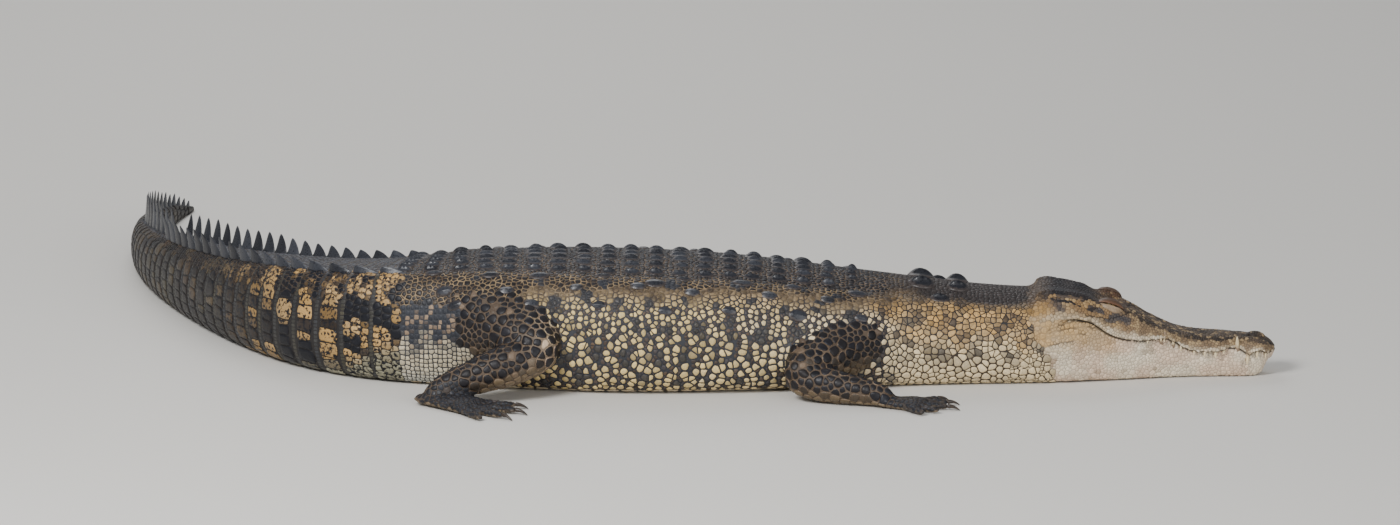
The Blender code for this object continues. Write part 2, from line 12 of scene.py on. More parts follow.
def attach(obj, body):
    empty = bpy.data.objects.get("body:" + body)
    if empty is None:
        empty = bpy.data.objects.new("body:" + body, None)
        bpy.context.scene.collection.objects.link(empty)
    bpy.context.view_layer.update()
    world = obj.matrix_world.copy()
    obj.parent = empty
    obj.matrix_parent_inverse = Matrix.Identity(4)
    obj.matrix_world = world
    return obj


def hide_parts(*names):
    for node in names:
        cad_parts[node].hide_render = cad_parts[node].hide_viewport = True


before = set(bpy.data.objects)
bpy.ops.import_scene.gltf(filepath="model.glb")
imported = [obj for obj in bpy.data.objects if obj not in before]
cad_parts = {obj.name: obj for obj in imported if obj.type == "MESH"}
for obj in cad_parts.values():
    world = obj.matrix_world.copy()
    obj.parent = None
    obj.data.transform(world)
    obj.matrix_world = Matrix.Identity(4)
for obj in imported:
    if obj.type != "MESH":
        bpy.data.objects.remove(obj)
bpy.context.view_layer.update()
scene = bpy.context.scene

# --------------------
# The floor, the light and the camera: a pale studio sweep, three large soft lamps, a long lens.


def linear(hex_colour):
    """A colour of the screen, such as #8a7150, as linear red, green and blue."""
    parts = [int(hex_colour[i:i + 2], 16) / 255 for i in (1, 3, 5)]
    return [c / 12.92 if c <= 0.04045 else ((c + 0.055) / 1.055) ** 2.4 for c in parts]


def feed(tree, made, **inputs):
    """Sets or links a node's sockets. A key is a socket's name, or its number after an underscore."""
    for key, value in inputs.items():
        socket = made.inputs[int(key[1:]) if key[0] == "_" else key.replace("_", " ")]
        if isinstance(value, bpy.types.Node):
            value = next(output for output in value.outputs if output.enabled)
        if isinstance(value, bpy.types.NodeSocket):
            tree.links.new(value, socket)
        else:
            socket.default_value = value
    return made


def node(tree, kind, settings=(), **inputs):
    """Adds a node with its settings and its sockets."""
    made = tree.nodes.new(kind)
    for key, value in dict(settings).items():
        setattr(made, key, value)
    return feed(tree, made, **inputs)


def new_material(name):
    """An empty material, with its tree and its Principled shader."""
    made = bpy.data.materials.new(name)
    made.use_nodes = True
    return made, made.node_tree, made.node_tree.nodes["Principled BSDF"]


paper, tree, shader = new_material("studio_sweep_paper")
feed(tree, shader, Base_Color=(*linear("#dedbd5"), 1), Roughness=0.9)
sweep = bpy.data.meshes.new("floor")
sweep.from_pydata([(-90, -90, 0), (90, -90, 0), (90, 90, 0), (-90, 90, 0)], [], [(0, 1, 2, 3)])
sweep.materials.append(paper)
floor = bpy.data.objects.new("floor", sweep)
scene.collection.objects.link(floor)

world = bpy.data.worlds.new("studio")
scene.world = world
world.use_nodes = True
feed(world.node_tree, world.node_tree.nodes["Background"], Color=(*linear("#eef1f5"), 1), Strength=0.45)

for name, place, size, watts in (
    ("key", (-2.4, -4.0, 3.9), 2.0, 330),
    ("fill", (3.0, -5.0, 1.5), 3.5, 120),
    ("back", (-0.8, 4.2, 3.6), 3.0, 70),
):
    lamp = bpy.data.lights.new(name, "AREA")
    lamp.energy, lamp.size = watts, size
    rig = bpy.data.objects.new(name, lamp)
    rig.location = place
    rig.rotation_euler = (Vector((0, 0.1, 0.1)) - Vector(place)).to_track_quat("-Z", "Y").to_euler()
    scene.collection.objects.link(rig)

CAMERA_ELEVATION = math.radians(12.5)
CAMERA_DISTANCE, PICTURE_WIDTH = 25.0, 2.646
AIM_X, AIM_UP = 0.0756, 0.2088  # what the middle of the picture shows, along X and up the picture
camera = bpy.data.objects.new("camera", bpy.data.cameras.new("camera"))
scene.collection.objects.link(camera)
scene.camera = camera
ahead = Vector((0, math.cos(CAMERA_ELEVATION), -math.sin(CAMERA_ELEVATION)))
upward = Vector((0, math.sin(CAMERA_ELEVATION), math.cos(CAMERA_ELEVATION)))
camera.location = Vector((AIM_X, 0, 0)) + upward * AIM_UP - ahead * CAMERA_DISTANCE
camera.rotation_euler = (math.pi / 2 - CAMERA_ELEVATION, 0, 0)
camera.data.lens = camera.data.sensor_width * CAMERA_DISTANCE / PICTURE_WIDTH
camera.data.clip_end = 100

# --------------------
# The skin of the head, neck, trunk and tail: thick hide over flesh and bone. It is one tube of rings
# along the body's axis, and lies inside the solids by the coat's depth, which the scales make up.

LENGTH, HEAD_LENGTH, SNOUT_X = 3.25, 0.452, 1.162
# The body, as (place along the axis from the snout tip, metres). SWING is the tail's turn in degrees.
SWING = [(1.54, 0), (1.92, 54), (2.5, 72), (3.25, 112)]
HALF_WIDTH = [
    (0.45, 0.119), (0.56, 0.125), (0.66, 0.137), (0.76, 0.16), (0.9, 0.19), (1.05, 0.209),
    (1.2, 0.213), (1.35, 0.199), (1.48, 0.17), (1.58, 0.143), (1.7, 0.125), (1.9, 0.105),
    (2.1, 0.087), (2.3, 0.069), (2.5, 0.052), (2.7, 0.038), (2.9, 0.026), (3.1, 0.015), (3.25, 0.004),
]
TOP = [
    (0.45, 0.164), (0.56, 0.172), (0.66, 0.184), (0.76, 0.195), (0.9, 0.209), (1.05, 0.222),
    (1.2, 0.228), (1.35, 0.231), (1.48, 0.229), (1.58, 0.221), (1.7, 0.208), (1.9, 0.186),
    (2.1, 0.161), (2.3, 0.138), (2.5, 0.115), (2.7, 0.092), (2.9, 0.068), (3.1, 0.042), (3.25, 0.012),
]
SHIELD = [
    (0.45, 0.07), (0.66, 0.076), (0.9, 0.101), (1.2, 0.118), (1.45, 0.099), (1.6, 0.08),
    (1.8, 0.067), (2.1, 0.048), (2.3, 0.033), (2.45, 0.019), (2.7, 0.01), (3.25, 0.002),
]
SHIELD_DROP = [
    (0.45, 0.015), (0.66, 0.018), (0.9, 0.014), (1.2, 0.012), (1.5, 0.008), (1.7, 0.004),
    (2.45, 0.002), (3.25, 0.001),
]
WIDEST_AT = [(0.45, 0.52), (0.76, 0.42), (1.2, 0.38), (1.6, 0.42), (2.00, 0.45), (3.25, 0.45)]
BELLY = [
    (0.45, 0.075), (0.76, 0.1), (1.2, 0.15), (1.48, 0.112), (1.6, 0.082), (1.9, 0.056),
    (2.3, 0.034), (2.7, 0.018), (3.05, 0.008), (3.25, 0.002),
]
# The head, as (percent of its length back from the snout tip, percent of that length).
HEAD_TOP = [
    (0, 12), (2, 14.5), (6, 16.3), (12, 17), (19, 17.8), (30, 18.2), (37, 19), (43, 20.2), (47, 21.8),
    (55, 25.5), (62, 28.6), (68, 29.8), (74, 32), (80, 35), (88, 36.8), (96, 37.6), (99, 37.4), (101, 36.4),
    (104, 36),
]
RIM_WIDTH = [
    (0, 0.3), (2, 4), (6, 6), (12, 5.5), (25, 7), (37, 7), (47, 8), (58, 9.5), (64, 10.5), (70, 11.5),
    (76, 11.6), (80, 11.8), (90, 13.2), (98, 14.5), (104, 15),
]
RIM_HEIGHT = [
    (0, 12), (2, 14), (6, 15.5), (12, 16.6), (25, 17.4), (37, 18.6), (47, 21.5), (55, 25.6), (62, 29.6),
    (67, 31.4), (71, 33), (75, 34), (82, 36.6), (90, 38), (96, 38.8), (99, 38.4), (101, 36.6), (104, 35.4),
]
CHEEK_WIDTH = [
    (0, 0.5), (2, 6.5), (6, 9.5), (12, 8), (16, 7.8), (25, 11.2), (37, 11.2), (47, 13), (58, 15.8),
    (66, 17.3), (74, 18.5), (82, 21), (92, 24.5), (100, 26), (104, 26.3),
]
CHEEK_HEIGHT = [
    (0, 11), (6, 13.9), (25, 15.2), (37, 16), (47, 19.6), (58, 22), (66, 24.2), (74, 27.8),
    (82, 30.6), (92, 31), (104, 28.5),
]
LIP_WIDTH = [
    (0, 0.8), (1, 4.5), (3, 7.5), (6, 9.7), (9, 10.2), (13, 8.9), (16, 8.3), (19, 10), (24, 12.4),
    (30, 12.3), (37, 12), (44, 13.2), (50, 15), (58, 17.3), (66, 19), (74, 20.7), (82, 22.5),
    (92, 25), (104, 26.3),
]
LIP_HEIGHT = [
    (0, 10.6), (3, 10), (7, 11.5), (11.5, 9.8), (15, 12), (19, 12.8), (25, 11.5), (32, 11.5), (38, 13),
    (42, 15.6), (47, 17.6), (55, 17.2), (62, 18), (67, 19.4), (71.5, 21.7), (75, 24.4), (79, 26.6),
    (86, 28), (104, 27),
]
JAW_WIDTH = [
    (1, 0.5), (3, 5.5), (6, 7.4), (10, 7.7), (12.5, 8.2), (15, 9.6), (17, 9.5), (22, 9.3), (30, 9.8),
    (37, 10.2), (47, 12.4), (58, 15.5), (66, 17.6), (74, 19.6), (82, 21.9), (92, 24.8), (104, 26.3),
]
JAW_BASE_WIDTH = [
    (1, 0.3), (3, 3), (6, 4.6), (12, 6.2), (20, 6.8), (30, 7.2), (45, 9.5), (60, 12.8), (75, 16.3),
    (90, 19.5), (104, 20.5),
]
JAW_BASE = [(1, 6.5), (3, 3.5), (6, 1.2), (10, 0), (104, 0)]
LIP_ROLL = 1.6  # how far the lip rolls in, as a percentage of the head's length
TOOTH_PITCH = 0.036  # from tooth to tooth, as a share of the head's length
HALF_POINTS, LIP_POINT = 64, 38  # points down each side of a ring, and the one in the mouth's groove
MOUTH_DEPTH = 0.006  # of the groove that stands for the shut mouth
AXIS_STEP = 0.005


def along(stations, place):
    """Values at places of a smooth curve through the stations that never overshoots them."""
    px, py = np.array(stations, float).T
    place = np.clip(np.asarray(place, float), px[0], px[-1])
    rise = np.diff(py) / np.diff(px)
    before, after = rise[:-1], rise[1:]
    total = np.where(before + after == 0, 1, before + after)
    inner = np.where(before * after > 0, 2 * before * after / total, 0)
    slope = np.concatenate([rise[:1], inner, rise[-1:]])
    i = np.clip(np.searchsorted(px, place, side="right") - 1, 0, len(px) - 2)
    width = px[i + 1] - px[i]
    t = (place - px[i]) / width
    return (py[i] * (1 + 2 * t) * (1 - t) ** 2 + py[i + 1] * t * t * (3 - 2 * t)
            + width * slope[i] * t * (1 - t) ** 2 - width * slope[i + 1] * t * t * (1 - t))


def head_size(stations, share):
    """A measure of the head in metres, at a share of its length."""
    return along(stations, 100 * np.asarray(share)) * HEAD_LENGTH / 100


headings = np.radians(along(SWING, (np.arange(round(LENGTH / AXIS_STEP)) + 0.5) * AXIS_STEP))
axis = np.cumsum(AXIS_STEP * np.stack([-np.cos(headings), np.sin(headings)], 1), axis=0)
axis = np.concatenate([[[0.0, 0.0]], axis]) + [SNOUT_X, 0.0]


def on_body(place, out, up):
    """Points at places along the body, out to its left and up from the floor."""
    at = np.clip(np.asarray(place, float) / AXIS_STEP, 0, len(axis) - 1)
    steps = np.arange(len(axis))
    turn = np.radians(along(SWING, place))
    x = np.interp(at, steps, axis[:, 0]) + out * np.sin(turn)
    y = np.interp(at, steps, axis[:, 1]) + out * np.cos(turn)
    return np.stack(np.broadcast_arrays(x, y, up), -1)


def run_along(line):
    """How far along a polyline each of its points is."""
    return np.concatenate([[0], np.cumsum(np.linalg.norm(np.diff(line, axis=0), axis=1))])


def resample(line, count):
    """A polyline as count points, evenly spaced along it."""
    length = run_along(line)
    at = np.linspace(0, length[-1], count)
    return np.stack([np.interp(at, length, line[:, k]) for k in range(line.shape[1])], 1)


def rounded(points, passes=3):
    """A polyline with its corners cut smooth, its ends kept."""
    line = np.array(points, float)
    for _ in range(passes):
        cuts = np.stack([0.75 * line[:-1] + 0.25 * line[1:], 0.25 * line[:-1] + 0.75 * line[1:]], 1)
        line = np.concatenate([line[:1], cuts.reshape(-1, line.shape[1])[1:-1], line[-1:]])
    return line


def body_outline(place):
    """Half a section behind the head, from the midline of the back to that of the belly."""
    half, top, edge, belly = (float(along(t, place)) for t in (HALF_WIDTH, TOP, SHIELD, BELLY))
    drop = float(along(SHIELD_DROP, place))
    widest, rim = top * float(along(WIDEST_AT, place)), top - drop
    over, turn = np.linspace(0, 1, 12)[:-1], np.linspace(0, math.pi / 2, 20)
    back = np.stack([edge * over, top - drop * over ** 2], 1)
    flank = np.stack([edge + (half - edge) * np.sin(turn), widest + (rim - widest) * np.cos(turn)], 1)
    under = np.stack([belly + (half - belly) * np.cos(turn) ** 0.85, widest * (1 - np.sin(turn) ** 0.85)], 1)
    line = np.concatenate([back, flank[:-1], under, [[0.0, 0.0]]])
    split = np.interp(place, [0.45, 0.75], [0.36, 0.46])  # how far round the jaw's line runs on into the neck
    fine = resample(line, 400)
    cut = round(split * 400)
    return np.concatenate([resample(fine[:cut + 1], LIP_POINT + 1)[:-1],
                           resample(fine[cut:], HALF_POINTS + 1 - LIP_POINT)])


def lip_height(share):
    """How high the mouth's line runs, scalloped where the upper teeth swell the lip."""
    swollen = np.interp(share, [0.0, 0.04, 0.55, 0.68], [0.0, 1.0, 1.0, 0.0])
    scallop = np.abs(np.sin(np.pi * share / TOOTH_PITCH)) - 0.5
    return head_size(LIP_HEIGHT, share) + swollen * 0.0016 * scallop


def head_outline(share):
    """Half a section of the head: down to the upper lip, into the mouth's groove, and round the jaw."""
    top, rim, rim_up, cheek, cheek_up, lip_out, jaw, floor_out, base = (
        float(head_size(stations, share)) for stations in (
            HEAD_TOP, RIM_WIDTH, RIM_HEIGHT, CHEEK_WIDTH, CHEEK_HEIGHT, LIP_WIDTH, JAW_WIDTH, JAW_BASE_WIDTH,
            JAW_BASE))
    lip = float(lip_height(share))
    roll = min(LIP_ROLL * HEAD_LENGTH / 100, 0.4 * lip_out)
    open_mouth = 1 - np.clip((share - 0.84) / 0.06, 0, 1)
    depth = min(MOUTH_DEPTH, 0.5 * lip_out) * open_mouth
    inner = min(jaw, lip_out)
    upper = rounded([
        (0, top), (rim * 0.55, top * 0.4 + rim_up * 0.6), (rim, rim_up),
        (rim + 0.45 * (cheek - rim), cheek_up + 0.62 * (rim_up - cheek_up)), (cheek, cheek_up),
        (lip_out, lip + 0.35 * (cheek_up - lip)), (lip_out, lip + 0.08 * (cheek_up - lip)),
        (lip_out - 0.25 * roll * open_mouth, lip),
    ])
    lower = rounded([
        (inner - 0.2 * roll * open_mouth, lip - 0.0006), (inner, lip - 0.1 * (lip - base)),
        (0.4 * inner + 0.6 * jaw, base + 0.74 * (lip - base)),
        (jaw, base + 0.5 * (lip - base)), (0.45 * jaw + 0.55 * floor_out, base + 0.12 * (lip - base)),
        (floor_out, base), (0, base),
    ])
    groove = [(min(upper[-1, 0], lower[0, 0]) - depth, lip)]
    return np.concatenate([resample(upper, LIP_POINT), groove, resample(lower, HALF_POINTS - LIP_POINT)])


def outline(place):
    """Half a section anywhere, with the head's turned smoothly into the neck's."""
    share = place / HEAD_LENGTH
    blend = np.clip((share - 0.93) / 0.17, 0, 1)
    blend = blend * blend * (3 - 2 * blend)
    if blend <= 0 or blend >= 1:
        return body_outline(place) if blend else head_outline(share)
    return (1 - blend) * head_outline(share) + blend * body_outline(place)


places = [0.0008]
while places[-1] < LENGTH - 0.004:
    near_tip = 0.0009 + 0.05 * places[-1]
    wide = float(np.interp(places[-1], [0.44, 0.6, 2.6, LENGTH], [0.0026, 0.0085, 0.0085, 0.005]))
    places.append(places[-1] + min(near_tip, wide))
places = np.array(places)
half_rings = np.array([outline(place) for place in places])
side = np.concatenate([half_rings, half_rings[:, -2:0:-1] * [-1, 1]], 1)  # the left side, then the right
tube = on_body(places[:, None], side[..., 0], side[..., 1])
RING = tube.shape[1]


def tube_faces(rings, sides):
    """Quads over a grid of rings, with one many-sided face to close each end."""
    a = (np.arange(rings - 1)[:, None] * sides + np.arange(sides)).ravel()
    b = (np.arange(rings - 1)[:, None] * sides + (np.arange(sides) + 1) % sides).ravel()
    ends = [list(range(sides))[::-1], list(range((rings - 1) * sides, rings * sides))]
    return np.stack([a, b, b + sides, a + sides], 1).tolist() + ends


def unit(ways):
    """Ways made one long."""
    return ways / np.maximum(np.linalg.norm(ways, axis=-1, keepdims=True), 1e-9)


def ring_normals(grid):
    """The outward direction at each point of a grid of rings."""
    lengthwise = np.gradient(grid, axis=0)
    around = np.roll(grid, -1, axis=1) - np.roll(grid, 1, axis=1)
    return unit(np.cross(around, lengthwise))


def coat_depth(place):
    """How thick the coat of scales is at these places."""
    return np.interp(place, [0.0, 0.42, 0.52, 0.8, 2.2, 3.0, LENGTH],
                     [0.0008, 0.001, 0.0022, 0.003, 0.0026, 0.0014, 0.0006])


def settle(points, level=0.0012):
    """Points kept above the floor by the thickness of the scales they lie on."""
    return np.concatenate([points[..., :2], np.maximum(points[..., 2:], level)], -1)


rng = np.random.default_rng(7)


def cloud(points, size, seed):
    """Smooth chance values from 0 to 1 that change over about this distance."""
    at = np.asarray(points) / size + 31.7 * seed
    cell = np.floor(at).astype(np.int64)
    t = at - cell
    t = t * t * (3 - 2 * t)
    total = 0.0
    for corner in np.ndindex(2, 2, 2):
        x, y, z = np.moveaxis(cell + corner, -1, 0)
        h = (x * 73856093 ^ y * 19349663 ^ z * 83492791 ^ seed * 26544357) & 0xFFFFFFFF
        h = ((h ^ (h >> 13)) * 1274126177) & 0xFFFFFFFF
        total = total + ((h >> 8) & 0xFFFF) / 65535 * np.prod(np.where(corner, t, 1 - t), -1)
    return total


def ramp(value, low, high):
    """0 at low, 1 at high, and a smooth step between them."""
    t = np.clip((np.asarray(value, float) - low) / (high - low), 0, 1)
    return t * t * (3 - 2 * t)


def bell(distance, width):
    """1 where the distance is 0, falling smoothly to nothing past the width."""
    return np.exp(-(distance / width) ** 2)


# The head's relief: skin drawn tight over rough bone. Its forms are pushed out of the tube or into it:
# the nostrils' boss, the brows, the edges of the skull's table, the ears' slots and the cheeks' folds.
HEAD_RINGS = int(np.searchsorted(places, 0.52))
EYE_PLACE, EYE_RADIUS = (0.695, 0.0475, 0.1375), 0.015
EYE_TILT = math.radians(17)  # how far the slit between the lids climbs towards the rear
LID_RADIUS, LID_LENGTH = 0.0176, 1.5
relief = tube[:HEAD_RINGS].reshape(-1, 3)
relief_out = ring_normals(tube)[:HEAD_RINGS].reshape(-1, 3)
run_back, off_middle = SNOUT_X - relief[:, 0], np.abs(relief[:, 1])


def from_line(first, second, line):
    """How far points of a plane are from a bent line in it."""
    line = np.array(line)
    best = np.full(len(first), 1.0)
    for (x0, y0), (x1, y1) in zip(line, line[1:]):
        dx, dy = x1 - x0, y1 - y0
        t = np.clip(((first - x0) * dx + (second - y0) * dy) / (dx * dx + dy * dy), 0, 1)
        best = np.minimum(best, np.hypot(first - x0 - t * dx, second - y0 - t * dy))
    return best


FOLDS = (  # creases of the cheek and round the jaw's hinge, as seen from the side: share of the head, height
    ((0.6, 0.129), (0.64, 0.1245), (0.7, 0.1215), (0.76, 0.128), (0.8, 0.133)),
    ((0.765, 0.118), (0.81, 0.122), (0.86, 0.1215), (0.905, 0.117), (0.95, 0.108)),
    ((0.74, 0.1045), (0.79, 0.11), (0.84, 0.1105), (0.9, 0.1075), (0.965, 0.1005)),
    ((0.8, 0.0965), (0.85, 0.098), (0.9, 0.0965), (0.97, 0.0905)),
    ((0.85, 0.084), (0.89, 0.0845), (0.955, 0.0785)),
)
SIDE_RELIEF = (  # as seen from the side: width, depth, line
    *((0.0034, 0.0014, fold) for fold in FOLDS),
    (0.0085, 0.004, ((1.04, 0.121), (1.02, 0.1), (0.982, 0.077), (0.95, 0.05), (0.927, 0.03), (0.915, 0.0))),
    (0.0036, 0.003, ((0.753, 0.146), (0.82, 0.1415), (0.887, 0.1375), (0.93, 0.139))),
    (0.003, 0.003, ((0.795, 0.1465), (0.86, 0.1595), (0.935, 0.1655))),
    (0.01, -0.003, ((0.72, 0.118), (0.8, 0.136), (0.9, 0.131))),
    (0.02, -0.004, ((0.84, 0.075), (0.92, 0.07))),
)
NOSTRIL = ((0.07, 0.0075), (0.088, 0.0105), (0.102, 0.008))
TOP_RELIEF = (  # as seen from above
    (0.0045, -0.0022, ((0.45, 0.02), (0.55, 0.024), (0.64, 0.032))),
    (0.006, -0.0018, ((0.79, 0.047), (0.9, 0.055), (0.985, 0.06))),
    (0.008, -0.0022, ((0.97, 0.052), (0.985, 0.058))),
    (0.016, 0.0022, ((0.82, 0.0), (0.94, 0.0))),
    (0.008, 0.0012, ((0.66, 0.0), (0.74, 0.0))),
    (0.0026, 0.0034, NOSTRIL),
)


def from_head_line(first, second, line):
    """How far points are from a line given as shares of the head's length and metres."""
    return from_line(first, second, [(share * HEAD_LENGTH, other) for share, other in line])


move = np.zeros(len(relief))
aside_share, up_share = np.abs(relief_out[:, 1]).clip(0, 1), relief_out[:, 2].clip(0, 1)
for width, depth, line in SIDE_RELIEF:
    near = bell(from_head_line(run_back, relief[:, 2], line), width)
    move -= depth * near * ramp(aside_share, 0.25, 0.6)
# the gums swell over each tooth's root, out of step above and below the lip
share = run_back / HEAD_LENGTH
from_lip = relief[:, 2] - lip_height(share)
swell_lip = np.cos(2 * np.pi * (share / TOOTH_PITCH + np.where(from_lip > 0, 0.0, 0.5)))
move += 0.0013 * swell_lip * bell(from_lip, 0.011) * ramp(aside_share, 0.2, 0.6) * ramp(share, 0.62, 0.5)
for width, depth, line in TOP_RELIEF:
    near = bell(from_head_line(run_back, off_middle, line), width)
    move -= depth * near * ramp(up_share, 0.25, 0.6)
rugged = np.interp(run_back, [0.0, 0.02, 0.26, 0.32, 0.45, 0.5], [0.6, 1.0, 1.0, 0.5, 0.5, 0.0])
rugged = ramp(up_share, 0.2, 0.7) * rugged
move += rugged * 0.0016 * (cloud(relief, 0.0075, 90) - 0.5)
move += np.interp(run_back, [0.0, 0.45, 0.5], [1.0, 1.0, 0.0]) * 0.0007 * (cloud(relief, 0.011, 91) - 0.5)


def bulge(points, centre, radii, soft=0.12):
    """Pushes points that lie inside an oval out to it, with a soft foot round it."""
    way = (points - centre) / radii
    far = np.maximum(np.linalg.norm(way, axis=1, keepdims=True), 1e-6)
    pushed = 0.5 * (far + 1 + np.sqrt((far - 1) ** 2 + soft ** 2)) - soft * 0.1
    pushed = np.where(far < 2.2, np.maximum(pushed, far), far)
    return centre + way / far * pushed * radii


def eye_axes(sign):
    """The middle of an eye, and its ways out, back along the slit and up across it."""
    centre = on_body(EYE_PLACE[0] * HEAD_LENGTH, sign * EYE_PLACE[1], EYE_PLACE[2])
    out = unit(np.array([0.12, sign * 0.84, 0.5]))
    back = np.array([-math.cos(EYE_TILT), 0.0, math.sin(EYE_TILT)])
    back = unit(back - out * (back @ out))
    up = np.cross(out, back)
    return centre, out, back, up * np.sign(up[2])


relief = relief + relief_out * move[:, None]
tip = ramp(run_back, 0.03, 0.0)  # the chin draws back under the snout's tip, and both are rounded
relief[:, 0] -= tip * 0.016 * ramp(-from_lip, 0.0, 0.04)
relief[:, 0] -= tip ** 4 * 0.0015 * ramp(np.abs(from_lip), 0.0, 0.022)
nose = np.array([SNOUT_X - 0.085 * HEAD_LENGTH, 0.0, 0.069])
nostril_dip = bell(from_head_line(run_back, off_middle, NOSTRIL), 0.0024)
above = relief[:, 2] > 0.055
relief[above] = bulge(relief[above], nose, np.array([0.0195, 0.0175, 0.0128]), 0.25)
relief[above] -= relief_out[above] * (0.0036 * nostril_dip * up_share)[above, None]
for sign in (1, -1):
    centre, out, back, up = eye_axes(sign)
    frame_of_eye = np.stack([out, back, up])
    near = np.linalg.norm(relief - centre, axis=1) < 0.045
    local = (relief[near] - centre) @ frame_of_eye.T
    local = bulge(local, np.zeros(3), LID_RADIUS * np.array([1.0, LID_LENGTH, 1.0]) - 0.0004, 0.22)
    # under the lids the skin sinks below the eyeball
    bare = np.hypot(local[:, 1] / (LID_LENGTH * 0.012), local[:, 2] / 0.0105)
    length = np.linalg.norm(local, axis=1, keepdims=True)
    sunk = local / length * (EYE_RADIUS - 0.004)
    share = (ramp(bare, 1.0, 0.7) * (local[:, 0] > 0))[:, None]
    local = local * (1 - share) + sunk * share
    relief[near] = centre + local @ frame_of_eye
tube[:HEAD_RINGS] = relief.reshape(HEAD_RINGS, RING, 3)
tube = settle(tube - ring_normals(tube) * coat_depth(places)[:, None, None])

# --------------------
# The legs: muscle and bone in loose hide, with five toes in front and four webbed ones behind. Each is a
# loft for the upper part, the lower part, the palm, the webs and each toe, melted into one surface.

LEFT_SHIFT = {"front": 0.035, "hind": -0.03}  # how far the left leg stands ahead of the right one
LEGS = {
    "front": {
        "root": (0.395, -0.105, 0.098), "bend": (0.262, -0.232, 0.058), "heel": (0.425, -0.285, 0.022),
        "upper": [(-0.2, 0.03), (0.00, 0.049), (0.35, 0.05), (0.75, 0.043), (1.0, 0.034), (1.14, 0.016)],
        "lower": [(-0.14, 0.014), (-0.04, 0.029), (0.25, 0.035), (0.65, 0.028), (0.95, 0.022), (1.06, 0.01)],
        "bend_drop": 0.018, "toe_heading": 15, "palm": (0.062, 0.024, 0.036, 0.013),
        "toes": [(-46, 0.04), (-23, 0.052), (-2, 0.056), (19, 0.05), (42, 0.038)],
        "toe_radius": 0.0088, "web": 0.3,
    },
    "hind": {
        "root": (-0.345, -0.085, 0.128), "bend": (-0.222, -0.222, 0.103), "heel": (-0.425, -0.272, 0.026),
        "upper": [(-0.25, 0.04), (0.00, 0.071), (0.4, 0.069), (0.8, 0.054), (1.0, 0.04), (1.16, 0.018)],
        "lower": [(-0.12, 0.016), (-0.03, 0.036), (0.28, 0.043), (0.65, 0.033), (0.95, 0.025), (1.06, 0.01)],
        "bend_drop": 0.014, "toe_heading": 33, "palm": (0.088, 0.027, 0.042, 0.015),
        "toes": [(-27, 0.072), (-9, 0.088), (9, 0.09), (27, 0.076)],
        "toe_radius": 0.01, "web": 0.62,
    },
}
CLAWED_TOES = 3
LIMB_VOXEL = 0.0056
LIMB_COAT = 0.0016  # how thick the coat of scales is on the legs


def add_object(name, points, faces):
    """A mesh object from arrays, shaded smooth."""
    mesh = bpy.data.meshes.new(name)
    mesh.from_pydata(np.asarray(points).tolist(), [], faces)
    mesh.shade_smooth()
    made = bpy.data.objects.new(name, mesh)
    scene.collection.objects.link(made)
    return made


def joined(parts):
    """The points and faces of several parts as one."""
    points, faces, count = [], [], 0
    for part_points, part_faces in parts:
        points.append(part_points)
        faces += [[v + count for v in face] for face in part_faces]
        count += len(part_points)
    return np.concatenate(points), faces


def facing_out(made, weld=True):
    """Turns a closed mesh's faces outwards."""
    work = bmesh.new()
    work.from_mesh(made.data)
    if weld:
        bmesh.ops.remove_doubles(work, verts=work.verts, dist=0.00001)
    bmesh.ops.recalc_face_normals(work, faces=work.faces)
    work.to_mesh(made.data)
    work.free()
    made.data.shade_smooth()


def baked(thing):
    """The object's mesh with its modifiers applied, in place of its own."""
    thing_mesh = bpy.data.meshes.new_from_object(thing.evaluated_get(bpy.context.evaluated_depsgraph_get()))
    thing.modifiers.clear()
    thing.data = thing_mesh
    return thing_mesh


def read_mesh(mesh):
    """A mesh's points, and its faces as lists of point numbers."""
    points = np.empty(len(mesh.vertices) * 3)
    mesh.vertices.foreach_get("co", points)
    return points.reshape(-1, 3), [list(face.vertices) for face in mesh.polygons]


def limb_rings(path, radii, flatten=1.0, sides=20):
    """Rings round a path, with the lowest points pressed flat on the floor."""
    path = np.array(path)
    ahead = unit(np.gradient(path, axis=0))
    aside = unit(np.cross(ahead, [0, 0, 1]))
    up = np.cross(aside, ahead)
    turn = 2 * np.pi * (np.arange(sides) + 0.5) / sides
    size = np.array(radii)[:, None, None]
    rings = (path[:, None] + size * (np.cos(turn)[None, :, None] * aside[:, None]
                                     + flatten * np.sin(turn)[None, :, None] * up[:, None]))
    return settle(rings, 0.0004)


def headed(degrees, sign):
    """The way ahead at this heading, and the way out from it, on the floor."""
    ahead, out = math.cos(math.radians(degrees)), math.sin(math.radians(degrees))
    return np.array([ahead, -sign * out, 0]), np.array([-out, -sign * ahead, 0])


def smooth_path(points, radii, steps=16):
    """A path and its radii through given ones, evenly drawn."""
    line = rounded(np.concatenate([np.array(points), np.array(radii)[:, None]], 1), 2)
    line = resample(line, steps)
    return line[:, :3], line[:, 3]


